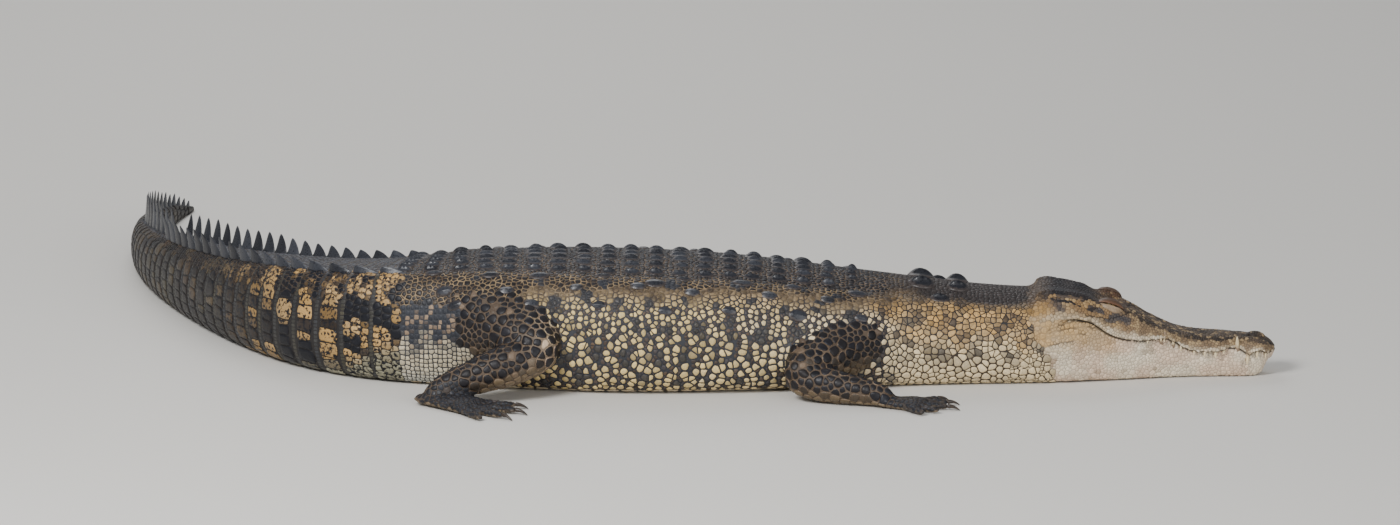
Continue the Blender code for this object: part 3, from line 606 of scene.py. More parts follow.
def leg_shapes(leg, sign, shift):
    """The lofts that make up one leg, the toes' paths, and the leg's line from shoulder or hip to toes."""
    def place(point, drop=0.0):
        """A joint of this leg, on its own side."""
        return np.array([point[0] + shift, point[1] * sign, point[2] - drop])

    root, bend, heel = place(leg["root"]), place(leg["bend"]), place(leg["heel"])
    low_bend = place(leg["bend"], leg["bend_drop"])
    lofts = []
    for start, end, stations in ((root, bend, leg["upper"]), (low_bend, heel, leg["lower"])):
        path = [start + (end - start) * share for share, _ in stations]
        lofts.append(limb_rings(*smooth_path(path, [r - LIMB_COAT for _, r in stations])))
    length, heel_half, toe_half, thick = leg["palm"]
    ahead, outward = headed(leg["toe_heading"], sign)
    start = np.array([heel[0], heel[1], thick * 0.8])
    path = [start + ahead * share * length for share in (-0.42, -0.25, 0.1, 0.55, 0.95, 1.1)]
    middle = (heel_half + toe_half) / 2
    widths = [heel_half * 0.35, heel_half * 0.9, heel_half, middle, toe_half, toe_half * 0.7]
    lofts.append(limb_rings(*smooth_path(path, widths), flatten=thick * 0.95 / toe_half))
    toes = []
    radius = leg["toe_radius"]
    for fan, toe_length in leg["toes"]:
        along_toe, _ = headed(leg["toe_heading"] + fan, sign)
        base = start + ahead * length * 0.72 + outward * math.sin(math.radians(fan)) * toe_half * 0.9
        base[2] = radius * 0.86
        tip = base + along_toe * (toe_length + length * 0.28)
        joints = np.array([0, 0.2, 0.34, 0.46, 0.6, 0.72, 0.86, 0.96, 1.0])
        knuckles = radius * np.array([1.0, 0.96, 1.02, 0.9, 0.94, 0.82, 0.84, 0.62, 0.35])
        toe_path = base + (tip - base) * joints[:, None]
        lofts.append(limb_rings(toe_path, knuckles, 0.95, 14))
        toes.append((base, tip, along_toe))
    reach = leg["web"]
    for (base, tip, _), (other, other_tip, _) in zip(toes, toes[1:]):
        run, other_run = (tip - base) * reach, (other_tip - other) * reach
        bay = (base + run * 0.86 + other + other_run * 0.86) / 2
        edge = np.array([base, base + run, bay, other + other_run, other])
        lofts.append(np.stack([np.column_stack([edge[:, :2], np.full(5, up)]) for up in (0.0014, 0.006)]))
    turns = [root, (bend + low_bend) / 2, heel, heel + ahead * length, heel + ahead * length * 2]
    return lofts, toes, resample(np.array(turns), 40)


legs = []
for end, leg in LEGS.items():
    for sign, hand in ((1, "right"), (-1, "left")):
        lofts, toes, line = leg_shapes(leg, sign, 0.0 if sign > 0 else LEFT_SHIFT[end])
        parts = [(rings.reshape(-1, 3), tube_faces(*rings.shape[:2])) for rings in lofts]
        limb = add_object(f"{end}_{hand}_leg", *joined(parts))
        facing_out(limb, weld=False)
        melt = limb.modifiers.new("melt", "REMESH")
        melt.mode, melt.voxel_size = "VOXEL", LIMB_VOXEL
        ease = limb.modifiers.new("ease", "SMOOTH")
        ease.factor, ease.iterations = 0.5, 5
        points, faces = read_mesh(baked(limb))
        bpy.data.objects.remove(limb)
        legs.append({"end": end, "points": points, "faces": faces, "toes": toes, "line": line})

# Where a leg meets the body, loose skin bridges the crease: both surfaces swell into one smooth web.
WEB_OF_SKIN = 0.042  # how far from the crease the web reaches


def tree_of(points, faces):
    """A tree that finds the nearest place on a surface."""
    return BVHTree.FromPolygons(np.asarray(points).tolist(), faces)


def signed(tree, point):
    """How far a point is outside a closed surface, and the way out."""
    spot, normal, _, far = tree.find_nearest(point)
    way = point - spot
    inside = way.dot(normal) < 0
    if far < 1e-6:
        return 0.0, normal
    return (-far, -way / far) if inside else (far, way / far)


def swell(points, own, other):
    """Moves the points that lie near both surfaces out to their soft union."""
    moved = points.copy()
    for i, start in enumerate(points):
        point = Vector(start)
        near = signed(other, point)[0]
        if not -0.5 * WEB_OF_SKIN < near < WEB_OF_SKIN:
            continue
        for _ in range(4):
            (d1, n1), (d2, n2) = signed(own, point), signed(other, point)
            share = 0.5 + 0.5 * (d2 - d1) / WEB_OF_SKIN
            share = min(max(share, 0.0), 1.0)
            field = d2 + (d1 - d2) * share - WEB_OF_SKIN * share * (1 - share)
            slope = n1 * share + n2 * (1 - share)
            point -= slope * (field / max(slope.length_squared, 0.35))
        shift = point - Vector(start)
        if shift.length > 0.35 * WEB_OF_SKIN:
            shift *= 0.35 * WEB_OF_SKIN / shift.length
        moved[i] = Vector(start) + shift
    return moved


trunk_rings = np.where((places > 0.62) & (places < 1.85))[0]
trunk_grid = tube[trunk_rings[0]:trunk_rings[-1] + 1]
trunk_tree = tree_of(trunk_grid.reshape(-1, 3), tube_faces(len(trunk_grid), RING))
grown = trunk_grid.reshape(-1, 3).copy()
for leg in legs:
    leg_tree = tree_of(leg["points"], leg["faces"])
    grown = settle(swell(grown, trunk_tree, leg_tree))
    leg["raw_tree"], leg["box"] = leg_tree, (leg["points"].min(0) - 0.01, leg["points"].max(0) + 0.01)
    leg["points"] = settle(swell(leg["points"], leg_tree, trunk_tree))
tube[trunk_rings[0]:trunk_rings[-1] + 1] = grown.reshape(trunk_grid.shape)

tube_points, tube_quads = tube.reshape(-1, 3), tube_faces(len(places), RING)
parts = [(tube_points, tube_quads)] + [(leg["points"], leg["faces"]) for leg in legs]
skin = add_object("skin", *joined(parts))
skin_points, skin_faces = read_mesh(skin.data)
skin_tree = tree_of(skin_points, skin_faces)

# --------------------
# The coat of scales: flat or domed pads of dry horn that grow from the hide, in rows across the body and in
# no strict order on the head and legs. The plan says where each sits, how large it is and its two colours,
# one for its crown and one for its rim.


def shade(hex_colour):
    """A colour to mix with others."""
    return np.array(linear(hex_colour))


BLUE_BLACK, DARK, SOOT, SLATE = map(shade, ("#15161d", "#231f1f", "#38312f", "#454851"))
BROWN, TAUPE, SNOUT_BROWN, RUST = map(shade, ("#5a4836", "#7d6850", "#55483c", "#694832"))
NET_TAN, TAN, OCHRE, GOLD = map(shade, ("#8a7560", "#a48c69", "#b3843f", "#c79c5a"))
CREAM, DROP_CREAM, BELLY_CREAM, JAW_CREAM = map(shade, ("#d6c39d", "#cbb37c", "#cfc2a6", "#dccfb8"))
OLIVE, LICHEN, WHITE, PINK = map(shade, ("#55503f", "#8d8c78", "#cdccc2", "#d0b098"))


def mix(first, second, share):
    """Two colours, or two for each scale, mixed by a share from 0 to 1."""
    share = np.clip(np.asarray(share, float), 0, 1)[..., None]
    return first * (1 - share) + second * share


beds = []


def sow(piece, at, out, back, reach, root, crown, rim, height, shoulder=0.84, mottle=0.0, groove=0.0008,
        weight=0.0):
    """Adds scales to the plan. Each value is one for all of them, or one for each."""
    count = len(at)
    if count:
        bed = {"at": at, "out": out, "back": back, "root": root, "piece": np.array([piece] * count)}
        bed.update({"crown": np.broadcast_to(crown, (count, 3)), "rim": np.broadcast_to(rim, (count, 3))})
        for key, value in (("reach", reach), ("height", height), ("shoulder", shoulder), ("mottle", mottle),
                           ("groove", groove), ("weight", weight)):
            bed[key] = np.broadcast_to(np.asarray(value, float), (count,))
        beds.append(bed)


right_half = [0, *range(RING - 1, HALF_POINTS - 1, -1)]
SIDES = {"left": (1, tube[:, :HALF_POINTS + 1]), "right": (-1, tube[:, right_half])}
normals_all = ring_normals(tube)
NORMALS = {"left": normals_all[:, :HALF_POINTS + 1], "right": normals_all[:, right_half]}
ARCS = {hand: np.array([run_along(ring) for ring in grid]) for hand, (_, grid) in SIDES.items()}


def on_skin(hand, place, arc):
    """Points of one side's skin and the ways out of it, at places and distances from the back's midline."""
    grid, arcs, normals = SIDES[hand][1], ARCS[hand], NORMALS[hand]
    ring = np.interp(place, places, np.arange(len(places)))
    low = np.minimum(ring.astype(int), len(places) - 2)
    point, normal = 0.0, 0.0
    for rows, weight in ((low, 1 - ring + low), (low + 1, ring - low)):
        step = np.array([np.interp(a, arcs[r], np.arange(HALF_POINTS + 1)) for a, r in zip(arc, rows)])
        k = np.minimum(step.astype(int), HALF_POINTS - 1)
        f = (step - k)[:, None]
        point = point + weight[:, None] * (grid[rows, k] * (1 - f) + grid[rows, k + 1] * f)
        normal = normal + weight[:, None] * (normals[rows, k] * (1 - f) + normals[rows, k + 1] * f)
    return point, unit(normal)


def edge_arc(place):
    """How far the back shield's edge is from the midline, along the skin."""
    return along(SHIELD, place) * 1.02


def full_arc(place):
    """How far it is along the skin from the back's midline to the belly's."""
    return np.interp(place, places, ARCS["right"][:, -1])


def floor_arc(place):
    """How far it is to the edge of the flat belly."""
    return full_arc(place) - along(BELLY, place)


def stretch(place, out):
    """How much longer the side is here than the axis, where the tail bends."""
    bend = np.radians(along(SWING, place + 0.01) - along(SWING, place - 0.01)) / 0.02
    return np.clip(1 - out * bend, 0.45, 2.0)


def rows_across(sign, start, end, inner, outer, length, width, stagger=0.5, jitter=0.1):
    """Places and distances from the midline of scales in rows across one side, between two lines."""
    found, place, row = [], start, 0
    while place < end:
        first, last = float(inner(place)), float(outer(place))
        out = sign * min((first + last) / 2, float(along(HALF_WIDTH, place)))
        step = length / float(stretch(place, out))
        count = max(1, round((last - first) / width))
        pitch = (last - first) / count
        shift = ((row % 2) - 0.5) * stagger
        for k in range(count):
            at = place + step * rng.normal(0, jitter)
            found.append((at, first + (k + 0.5 + shift + rng.normal(0, jitter)) * pitch))
        place += step
        row += 1
    return np.array(found).T


def distance_to(leg, spots):
    """How far spots are outside a leg as it was before it was joined to the trunk."""
    low, high = leg["box"]
    close = np.all((spots > low) & (spots < high), axis=1)
    return np.array([signed(leg["raw_tree"], Vector(spot))[0] if here else 1.0
                     for spot, here in zip(spots, close)])


def from_trunk(spots):
    """How far spots are outside the trunk as it was before the legs were joined to it."""
    return np.array([signed(trunk_tree, Vector(spot))[0] for spot in spots])


LAP = 0.0005  # how far the trunk's scales and a leg's lap over the line between them
MAP_SPAN = 3.5  # metres of skin across the bake map


def on_map(place, off):
    """Where on the bake map a scale lies, by its place along the body and its distance off the midline."""
    return np.stack(np.broadcast_arrays(0.02 + place / MAP_SPAN, 0.5 + off / MAP_SPAN), -1)


def lay(piece, hand, place, arc, length, width, looks, pull=0.25):
    """Sows scales at places of one side. looks gives their colours and forms from place, share and points."""
    at, out = on_skin(hand, place, arc)
    behind, _ = on_skin(hand, place + 0.004, arc)
    back = behind - at
    back = unit(back - out * np.sum(back * out, 1, keepdims=True))
    share = (arc - edge_arc(place)) / (floor_arc(place) - edge_arc(place))
    root = on_map(place, SIDES[hand][0] * arc)
    kept = np.ones(len(at), bool)
    if 0.6 < np.mean(place) < 1.9:
        for leg in legs:
            near = distance_to(leg, at)
            close = near < WEB_OF_SKIN
            kept[close] &= near[close] > from_trunk(at[close]) - LAP
    found = {key: value[kept] if np.ndim(value) else value for key, value in looks(place, share, at).items()}
    sow(piece, at[kept], out[kept], back[kept], 0.64 * np.hypot(length, width), root[kept], **found,
        weight=pull * (length + width) * (1 + rng.normal(0, 0.16, kept.sum())))


def speckled(colour, amount=0.12):
    """A colour made a little lighter or darker from scale to scale."""
    return colour * (1 + rng.normal(0, amount, colour.shape[:1]))[:, None].clip(0.5, 1.6)


def plain(colour, at):
    """One colour for every scale."""
    return np.tile(colour, (len(at), 1))


PATCH_PITCH = 0.06
PATCH_ROWS = (0.08, 0.25, 0.43, 0.62, 0.81)


def in_patch(place, share):
    """How far each scale lies inside one of the slate patches that stand in staggered rows, from 0 to 1."""
    inside = np.zeros(len(place))
    for row, level in enumerate(PATCH_ROWS):
        number = np.round(place / PATCH_PITCH - 0.5 * (row % 2))
        middle = (number + 0.5 * (row % 2)) * PATCH_PITCH + 0.01 * np.sin(12.9 * number + 7.3 * row)
        size = 0.78 + 0.32 * np.sin(5.7 * number + 2.3 * row)
        size = size * (np.sin(3.1 * number + 9.7 * row) > -0.6)
        wander = 0.03 * np.sin(78.2 * number + 3.1 * row)
        far = np.hypot((place - middle) / 0.0135, (share - level - wander) / 0.062)
        inside = np.maximum(inside, ramp(far / np.maximum(size, 0.01), 1.25, 0.85))
    return inside


def flank_looks(place, share, at):
    """The flank: dark with a jagged tan net above, cream drops on slate below, slate patches in rows."""
    hip = ramp(place, 1.36, 1.46)
    lower = ramp(share + 0.16 * (cloud(at, 0.03, 3) - 0.5) - 0.16 * hip, 0.1, 0.3)
    patch = in_patch(place, share) * (cloud(at, 0.012, 5) > 0.15)
    drop = mix(CREAM, DROP_CREAM, ramp(place + 0.3 * cloud(at, 0.05, 2), 0.95, 1.25))
    drop = mix(TAN, drop, ramp(share, 0.16, 0.36))
    crown = mix(mix(DARK * 0.5, SOOT * 0.8, cloud(at, 0.012, 1)), drop, lower)
    crown = mix(crown, SLATE * 0.42, 0.95 * patch)
    rim = mix(mix(BROWN, TAN, ramp(cloud(at, 0.006, 4), 0.3, 0.6)), SLATE * 0.55, lower)
    rim = mix(rim, SLATE * 0.6, patch)
    return {"crown": speckled(crown, 0.16), "rim": speckled(rim), "height": 0.0017 + 0.0009 * lower,
            "shoulder": 0.84 - 0.04 * lower * (1 - patch), "mottle": 0.45 * (1 - lower),
            "groove": 0.0008 + 0.0004 * lower}


def side_looks(place, share, at):
    """Turns the neck's looks into the flank's over the shoulder."""
    rear = ramp(place + 0.1 * (cloud(at, 0.02, 16) - 0.5), 0.66, 0.8)
    first, second = neck_looks(place, share, at), flank_looks(place, share, at)
    return {key: mix(first[key], second[key], rear) if np.ndim(second[key]) == 2 else
            first[key] * (1 - rear) + second[key] * rear for key in first}


def granule_looks(place, share, at):
    """Small dark beads in the corners between the flank's drops."""
    crown = mix(SLATE * 0.7, BROWN * 0.9, cloud(at, 0.008, 98))
    return {"crown": speckled(crown, 0.2), "rim": plain(SLATE * 0.5, at), "height": 0.0016, "groove": 0.0006}


def belly_looks(place, share, at):
    """The belly's shield: large, flat, pale squares with dark seams."""
    crown = mix(BELLY_CREAM, TAN, 0.6 * cloud(at, 0.03, 8))
    return {"crown": speckled(crown, 0.06), "rim": speckled(plain(SOOT, at)), "height": 0.0022,
            "shoulder": 0.88, "groove": 0.0013}


def back_looks(place, share, at):
    """The ground between the back's scutes: black grains in a tan net."""
    crown = mix(DARK * 0.7, BLUE_BLACK, cloud(at, 0.02, 11))
    rim = mix(SOOT, NET_TAN, 0.9 * ramp(cloud(at, 0.007, 12), 0.3, 0.6))
    return {"crown": speckled(crown, 0.2), "rim": rim, "height": 0.0017, "mottle": 0.4}


def neck_looks(place, share, at):
    """The neck: dark brown above, gold with small slate smudges, then cream hexagons."""
    wander = share + 0.16 * (cloud(at, 0.03, 13) - 0.5)
    crown = mix(SOOT, mix(GOLD, TAN, cloud(at, 0.02, 14)), ramp(wander, -0.05, 0.2))
    crown = mix(crown, CREAM, ramp(wander, 0.36, 0.62))
    smudge = 0.6 * cloud(at, 0.017, 15) + 0.4 * cloud(at, 0.009, 96) + 0.14 * in_patch(place, share)
    spots = ramp(smudge, 0.5, 0.64) * ramp(share, 0.78, 0.58) * ramp(share, 0.02, 0.12)
    spots = spots * rng.uniform(0.45, 1.0, len(at))
    crown = mix(crown, mix(SLATE * 0.7, DARK, cloud(at, 0.011, 97)), 0.88 * spots)
    low = ramp(share, 0.3, 0.8)
    return {"crown": speckled(crown, 0.14), "rim": mix(DARK, BROWN, 0.55 * low),
            "height": 0.0013 + 0.0008 * low, "shoulder": 0.86, "mottle": 0.25 * ramp(share, 0.6, 0.3),
            "groove": 0.0007}


def vent_looks(place, share, at):
    """Small squares round the vent, greenish white low down."""
    high = ramp(share + 0.25 * (cloud(at, 0.016, 20) - 0.5), 0.66, 0.5)
    low = mix(BELLY_CREAM * 0.85, WHITE * 0.9, ramp(share, 0.7, 0.95))
    crown = mix(low, mix(NET_TAN, SLATE * 0.5, ramp(cloud(at, 0.008, 21), 0.3, 0.5)), high)
    return {"crown": speckled(crown, 0.1), "rim": plain(SLATE * 0.6, at), "height": 0.0015, "groove": 0.001}


def tail_looks(place, share, at):
    """The tail's side: black and ochre blocks that turn to dark olive towards the tip, pale low down."""
    black = ramp(0.62 * cloud(at, 0.03, 22) + 0.38 * cloud(at, 0.018, 23), 0.42, 0.5)
    lit = ramp(place, 2.1, 1.8)
    crown = mix(OLIVE * 0.7, BROWN * 0.8, cloud(at, 0.04, 24))
    crown = mix(crown, mix(GOLD * 0.8, TAN, 0.7 * cloud(at, 0.02, 25)), lit)
    low = share - np.interp(place, [1.62, 1.76, 1.95], [0.52, 0.8, 0.92])
    crown = mix(crown, LICHEN, 0.9 * lit * ramp(low + 0.12 * (cloud(at, 0.02, 99) - 0.5), 0.0, 0.12))
    crown = mix(crown, BLUE_BLACK, black * (0.75 + 0.25 * lit) * (1 - 0.8 * lit * ramp(low, 0.0, 0.12)))
    crown = mix(crown, DARK, 0.5 * ramp(place, 2.2, 2.8))
    rim = mix(DARK, NET_TAN, 0.5 * ramp(share, 0.3, 0.1) * ramp(place, 2.4, 2.0))
    return {"crown": speckled(crown, 0.12), "rim": rim, "height": 0.0019, "shoulder": 0.93,
            "mottle": 0.9 * ramp(place, 2.5, 1.9) + 0.25, "groove": 0.0009}


def tail_top_looks(place, share, at):
    """The tail's flat top between the two crests: slate grains."""
    crown = mix(SLATE * 0.8, DARK, 0.8 * cloud(at, 0.012, 26))
    rim = mix(SOOT, NET_TAN, 0.5 * cloud(at, 0.01, 27))
    return {"crown": speckled(crown, 0.2), "rim": rim, "height": 0.0015}


def bead_looks(place, share, at):
    """The seam of small beads between two whorls of the tail."""
    crown = mix(SLATE * 0.55, OLIVE * 0.7, cloud(at, 0.03, 28))
    return {"crown": speckled(crown, 0.12), "rim": plain(DARK, at), "height": 0.0006, "shoulder": 0.85}


NECK_FRONT, NECK_BACK, TRUNK_BACK = 0.418, 0.735, 1.62


def line(share):
    """A line along the side at a share of the way from the shield's edge down to the floor."""
    return lambda place: edge_arc(place) + share * (floor_arc(place) - edge_arc(place))


def midline(place):
    """The back's midline, as a line like the others."""
    return 0.0


def jaw_line(height):
    """Where the neck's scales begin behind the jaw, at this height."""
    return np.interp(height, [0.0, 0.03, 0.077, 0.113, 0.135], [0.416, 0.42, 0.444, 0.462, 0.47])


# Bands of rows along the neck and trunk: two lines, a scale's length and width, and the rows' stagger.
for hand, (sign, _) in SIDES.items():
    trunk = f"trunk_{hand}"
    for piece, looks, start, end, bands in (
        ("neck", side_looks, NECK_FRONT, NECK_BACK, (
            (midline, line(0.06), 0.0085, 0.0085, 0.5), (line(0.06), line(0.34), 0.0098, 0.0098, 0.5),
            (line(0.34), line(0.62), 0.012, 0.0112, 0.5), (line(0.62), line(1.0), 0.015, 0.0135, 0.5))),
        (trunk, side_looks, NECK_BACK, TRUNK_BACK, ((line(0.0), line(0.28), 0.01, 0.009, 0.5),)),
        (trunk, side_looks, NECK_BACK, 1.5, (
            (line(0.28), line(0.48), 0.0128, 0.0118, 0.5), (line(0.48), line(0.9), 0.0165, 0.0155, 0.5))),
        (trunk, vent_looks, 1.5, TRUNK_BACK, ((line(0.28), line(1.0), 0.0092, 0.0095, 0.0),)),
        (trunk, back_looks, NECK_BACK, TRUNK_BACK, ((midline, line(0.0), 0.0092, 0.0092, 0.5),)),
        ("neck", belly_looks, NECK_FRONT, NECK_BACK, ((line(1.0), full_arc, 0.027, 0.026, 0.0),)),
        (trunk, belly_looks, NECK_BACK, TRUNK_BACK, ((line(0.9), full_arc, 0.027, 0.026, 0.0),)),
    ):
        for inner, outer, length, width, stagger in bands:
            jitter = (0.09 if looks is vent_looks else 0.04) if stagger == 0 else 0.24
            place, arc = rows_across(sign, start, end, inner, outer, length, width, stagger, jitter)
            if start == NECK_FRONT:
                kept = place > jaw_line(on_skin(hand, place, arc)[0][:, 2])
                place, arc = place[kept], arc[kept]
            drops = looks is side_looks and piece == trunk and length > 0.012
            lay(piece, hand, place, arc, length, width, looks, 0.21 if drops else 0.25)
            if drops:
                for off in (-0.33 * width, 0.33 * width):
                    lay(piece, hand, place + 0.5 * length, arc + off, 0.006, 0.006, granule_looks, 0.05)

# The tail's coat: rings of tall, flat scales, a whorl for each tooth of the crest, with a seam of beads
# between them where the hide bends.
WHORL_LENGTH = [(1.62, 0.047), (2.46, 0.041), (3.25, 0.026)]
CREST_START, CREST_MERGE, CREST_END = 1.62, 2.46, 3.235
CREST_HEIGHT = [
    (1.62, 0.006), (1.85, 0.016), (2.1, 0.032), (2.4, 0.044), (2.6, 0.05), (2.9, 0.043), (3.1, 0.028),
    (3.24, 0.008),
]
CREST_LEAN = 0.22
whorls, place = [], CREST_START
while place < CREST_END - 0.002:
    length = min(float(along(WHORL_LENGTH, place)), CREST_END - place)
    whorls.append((place, length))
    place += length
    if abs(place - CREST_MERGE) < 0.02:
        place = CREST_MERGE
for hand, (sign, _) in SIDES.items():
    for start, length in whorls:
        tall = float(np.interp(start, [1.62, 2.2, 2.8, 3.2], [0.0225, 0.02, 0.015, 0.008]))
        top_share = float(np.interp(start, [1.62, 2.2, 2.5, 2.6], [0.24, 0.2, 0.1, 0.0]))
        beads = start < 2.75
        for inner, outer, columns, high, looks in (
            (midline, line(0.0), 4, 0.0095, tail_top_looks),
            (line(0.0), line(top_share), 4, 0.0095, tail_looks),
            (line(top_share), full_arc, *((1, tall) if start > 1.7 else (3, 0.0135)), tail_looks),
        ):
            first, last = float(inner(start)), float(outer(start))
            if last - first < 0.004:
                continue
            rows = max(1, round((last - first) / high))
            pitch = (last - first) / rows
            used = length * (0.92 if beads else 1.0)
            for column in range(columns):
                place = start + used * (column + 0.5) / columns
                shift = 0.25 * (-1) ** column * (columns > 1)
                arc = first + (np.arange(rows) + 0.5 + shift) / rows * (last - first)
                arc = arc + rng.normal(0, 0.07 * (last - first) / rows, rows)
                spot = place + rng.normal(0, 0.02 * used if columns == 1 else 0.0012, rows)
                wide = used / columns * float(stretch(place, sign * 0.6 * along(HALF_WIDTH, place)))
                lay(f"tail_{hand}", hand, spot, arc, wide, pitch, looks)
        if beads:
            arc = np.arange(0.004, float(full_arc(start)) - 0.003, 0.0075)
            arc = arc + rng.normal(0, 0.0006, len(arc))
            seam = np.full(len(arc), start + 0.96 * length)
            lay(f"tail_{hand}", hand, seam, arc, 0.004, 0.0075, bead_looks, 0.18)

# The legs and the head have scales in no strict order: spots at random, none nearer than its size allows.


def scatter(points, faces, radius_of, generator, tries=26, taken=((), ())):
    """Spots over faces whose circles barely touch each other or those taken: points, ways out and radii."""
    tris = np.array([(f[0], f[i], f[i + 1]) for f in faces for i in range(1, len(f) - 1)])
    a, b, c = (points[tris[:, k]] for k in range(3))
    cross = np.cross(b - a, c - a)
    area = np.linalg.norm(cross, axis=1) / 2
    typical = radius_of((a + b + c) / 3, cross / (2 * area[:, None] + 1e-15))
    share = area / typical ** 2
    picked = generator.choice(len(tris), int(tries * share.sum() / 4), p=share / share.sum())
    u, v = generator.random((2, len(picked)))
    u, v = np.where(u + v > 1, 1 - u, u), np.where(u + v > 1, 1 - v, v)
    spots = a[picked] + u[:, None] * (b - a)[picked] + v[:, None] * (c - a)[picked]
    ways = cross[picked] / (2 * area[picked, None] + 1e-15)
    radii = radius_of(spots, ways)
    order = np.argsort(-np.round(radii, 3), kind="stable")
    cell = 2.0 * max(radii.max(), *taken[1]) if len(taken[1]) else 2.0 * radii.max()
    boxes, kept = {}, []
    spot_list, radius_list = spots.tolist() + list(taken[0]), radii.tolist() + list(taken[1])
    for i, (x, y, z) in enumerate(taken[0]):
        boxes.setdefault((int(x // cell), int(y // cell), int(z // cell)), []).append(len(spots) + i)
    for i in order.tolist():
        x, y, z = spot_list[i]
        radius = radius_list[i]
        home = (int(x // cell), int(y // cell), int(z // cell))
        near = [j for dx in (-1, 0, 1) for dy in (-1, 0, 1) for dz in (-1, 0, 1)
                for j in boxes.get((home[0] + dx, home[1] + dy, home[2] + dz), ())]
        if all((x - spot_list[j][0]) ** 2 + (y - spot_list[j][1]) ** 2 + (z - spot_list[j][2]) ** 2
               > (0.93 * (radius + radius_list[j])) ** 2 for j in near):
            boxes.setdefault(home, []).append(i)
            kept.append(i)
    return spots[kept], ways[kept], radii[kept]


def across(ways, line_back):
    """Directions along the surface that run as nearly as they can with the given ones."""
    back = line_back - ways * np.sum(ways * line_back, 1, keepdims=True)
    clear = np.linalg.norm(back, axis=1, keepdims=True) > 0.05
    return np.where(clear, unit(back), unit(np.cross(ways, [0.3, 0.9, 0.2])))


def tree_of_spots(spots, chosen=None):
    """A tree that finds the nearest of these spots, or of the chosen ones."""
    tree = KDTree(len(spots))
    for i in range(len(spots)) if chosen is None else chosen:
        tree.insert(spots[i], int(i))
    tree.balance()
    return tree


def nearest_in(tree, spots):
    """The number of the spot in the tree that is nearest to each of these."""
    return np.array([tree.find(spot)[1] for spot in spots.tolist()], int)


# The legs' coat: black pebbles in a tan net, a few large ones on the front of the knee and elbow, and dull
# slate ones on the feet.
for number, leg in enumerate(legs):
    steps = leg["line"]
    run = run_along(steps)
    tree = tree_of_spots(steps)
    foot_start = run[-1] - 2 * LEGS[leg["end"]]["palm"][0]
    front = leg["end"] == "front"

    def how_far(spots):
        """How far down the leg spots are."""
        return run[nearest_in(tree, spots)]

    def knee_share(far, middle, width):
        """How near to the knee or elbow spots are."""
        return bell(far - middle * foot_start, width)

    def radius_of(spots, ways):
        """The size of the leg's scales, with a few large ones on the front of the knee."""
        far = how_far(spots)
        size = np.interp(far, [0.0, 0.6 * foot_start, foot_start, foot_start + 0.05, run[-1]],
                         [0.0058, 0.0062, 0.0052, 0.004, 0.0031])
        knee = knee_share(far, 0.5 if front else 0.42, 0.055) * (ways[:, 0] > -0.1)
        large = cloud(spots, 0.012, 40 + number) > np.where(far < foot_start, 0.66 - 0.2 * knee, 2.0)
        return np.where(large, np.maximum(size, 0.0092 if front else 0.0098), size)

    spots, ways, radii = scatter(leg["points"], leg["faces"], radius_of, rng, 44)
    kept = (from_trunk(spots) > distance_to(leg, spots) - LAP) & (spots[:, 2] > 0.003)
    spots, ways, radii = spots[kept], ways[kept], radii[kept]
    far = how_far(spots)
    nearest = np.minimum(np.searchsorted(run, far), len(steps) - 2)
    back = across(ways, steps[nearest + 1] - steps[nearest])
    turn = np.arctan2(ways[:, 2], ways[:, 1])
    root = np.stack([0.06 + 0.24 * number + far / MAP_SPAN, 0.16 + turn * 0.05 / MAP_SPAN], 1)
    large = radii > 0.0075
    crown = mix(BLUE_BLACK, DARK, cloud(spots, 0.015, 50))
    crown = mix(crown, NET_TAN, 0.6 * ramp(cloud(spots, 0.008, 51), 0.72, 0.85) * ~large)
    knee = knee_share(far, 0.5 if front else 0.44, 0.035) * ramp(ways[:, 0], -0.2, 0.3)
    knee = knee * (0.3 if front else 1.0)
    on_foot = ramp(far, foot_start - 0.02, foot_start + 0.04)
    light = mix(PINK * 0.9, CREAM, cloud(spots, 0.015, 52))
    crown = mix(crown, light, knee * ramp(cloud(spots, 0.012, 53), 0.5, 0.6) * ~large)
    crown = mix(crown, SLATE * 0.4, 0.8 * on_foot)
    crown = mix(crown, TAN * 0.8, 0.45 * ramp(-ways[:, 2], 0.15, 0.6))
    rim = mix(mix(NET_TAN, BROWN, cloud(spots, 0.01, 55)), light, 0.6 * knee)
    sow(f"{leg['end']}_legs", spots, ways, back, 1.85 * radii, root, speckled(crown, 0.16),
        mix(rim, SOOT, 0.8 * on_foot), np.where(large, 0.0026, 0.001 + 0.09 * radii),
        np.where(large, 0.86, 0.87), groove=0.0007, weight=radii)


def head_share(spots):
    """How far back on the head spots are, from 0 at the snout's tip to 1 behind the skull's table."""
    return (SNOUT_X - spots[:, 0]) / HEAD_LENGTH


def head_measures(spots):
    """Share of the head's length, and how high: 0 at the lip, 1 at the top's rim, below 0 on the jaw."""
    share = head_share(spots)
    lip = lip_height(share)
    rim = head_size(RIM_HEIGHT, share)
    return share, np.where(spots[:, 2] > lip, (spots[:, 2] - lip) / (rim - lip), (spots[:, 2] - lip) / lip)


def from_folds(spots):
    """How far spots are from the nearest fold, as seen from the side."""
    return np.min([from_head_line(SNOUT_X - spots[:, 0], spots[:, 2], fold) for fold in FOLDS], axis=0)


def under_lids(spots):
    """Whether spots lie under an eye's lids or between them."""
    hidden = np.zeros(len(spots), bool)
    for sign in (1, -1):
        centre, out, back, up = eye_axes(sign)
        off = spots - centre
        aside, along_slit, above = off @ out, off @ back / LID_LENGTH, off @ up
        lift = np.degrees(np.arctan2(above, np.copysign(np.hypot(aside, along_slit), aside)))
        near = aside ** 2 + along_slit ** 2 + above ** 2 < (LID_RADIUS + 0.0014) ** 2
        hidden |= near & (lift > -64) & (lift < 94)
    return hidden


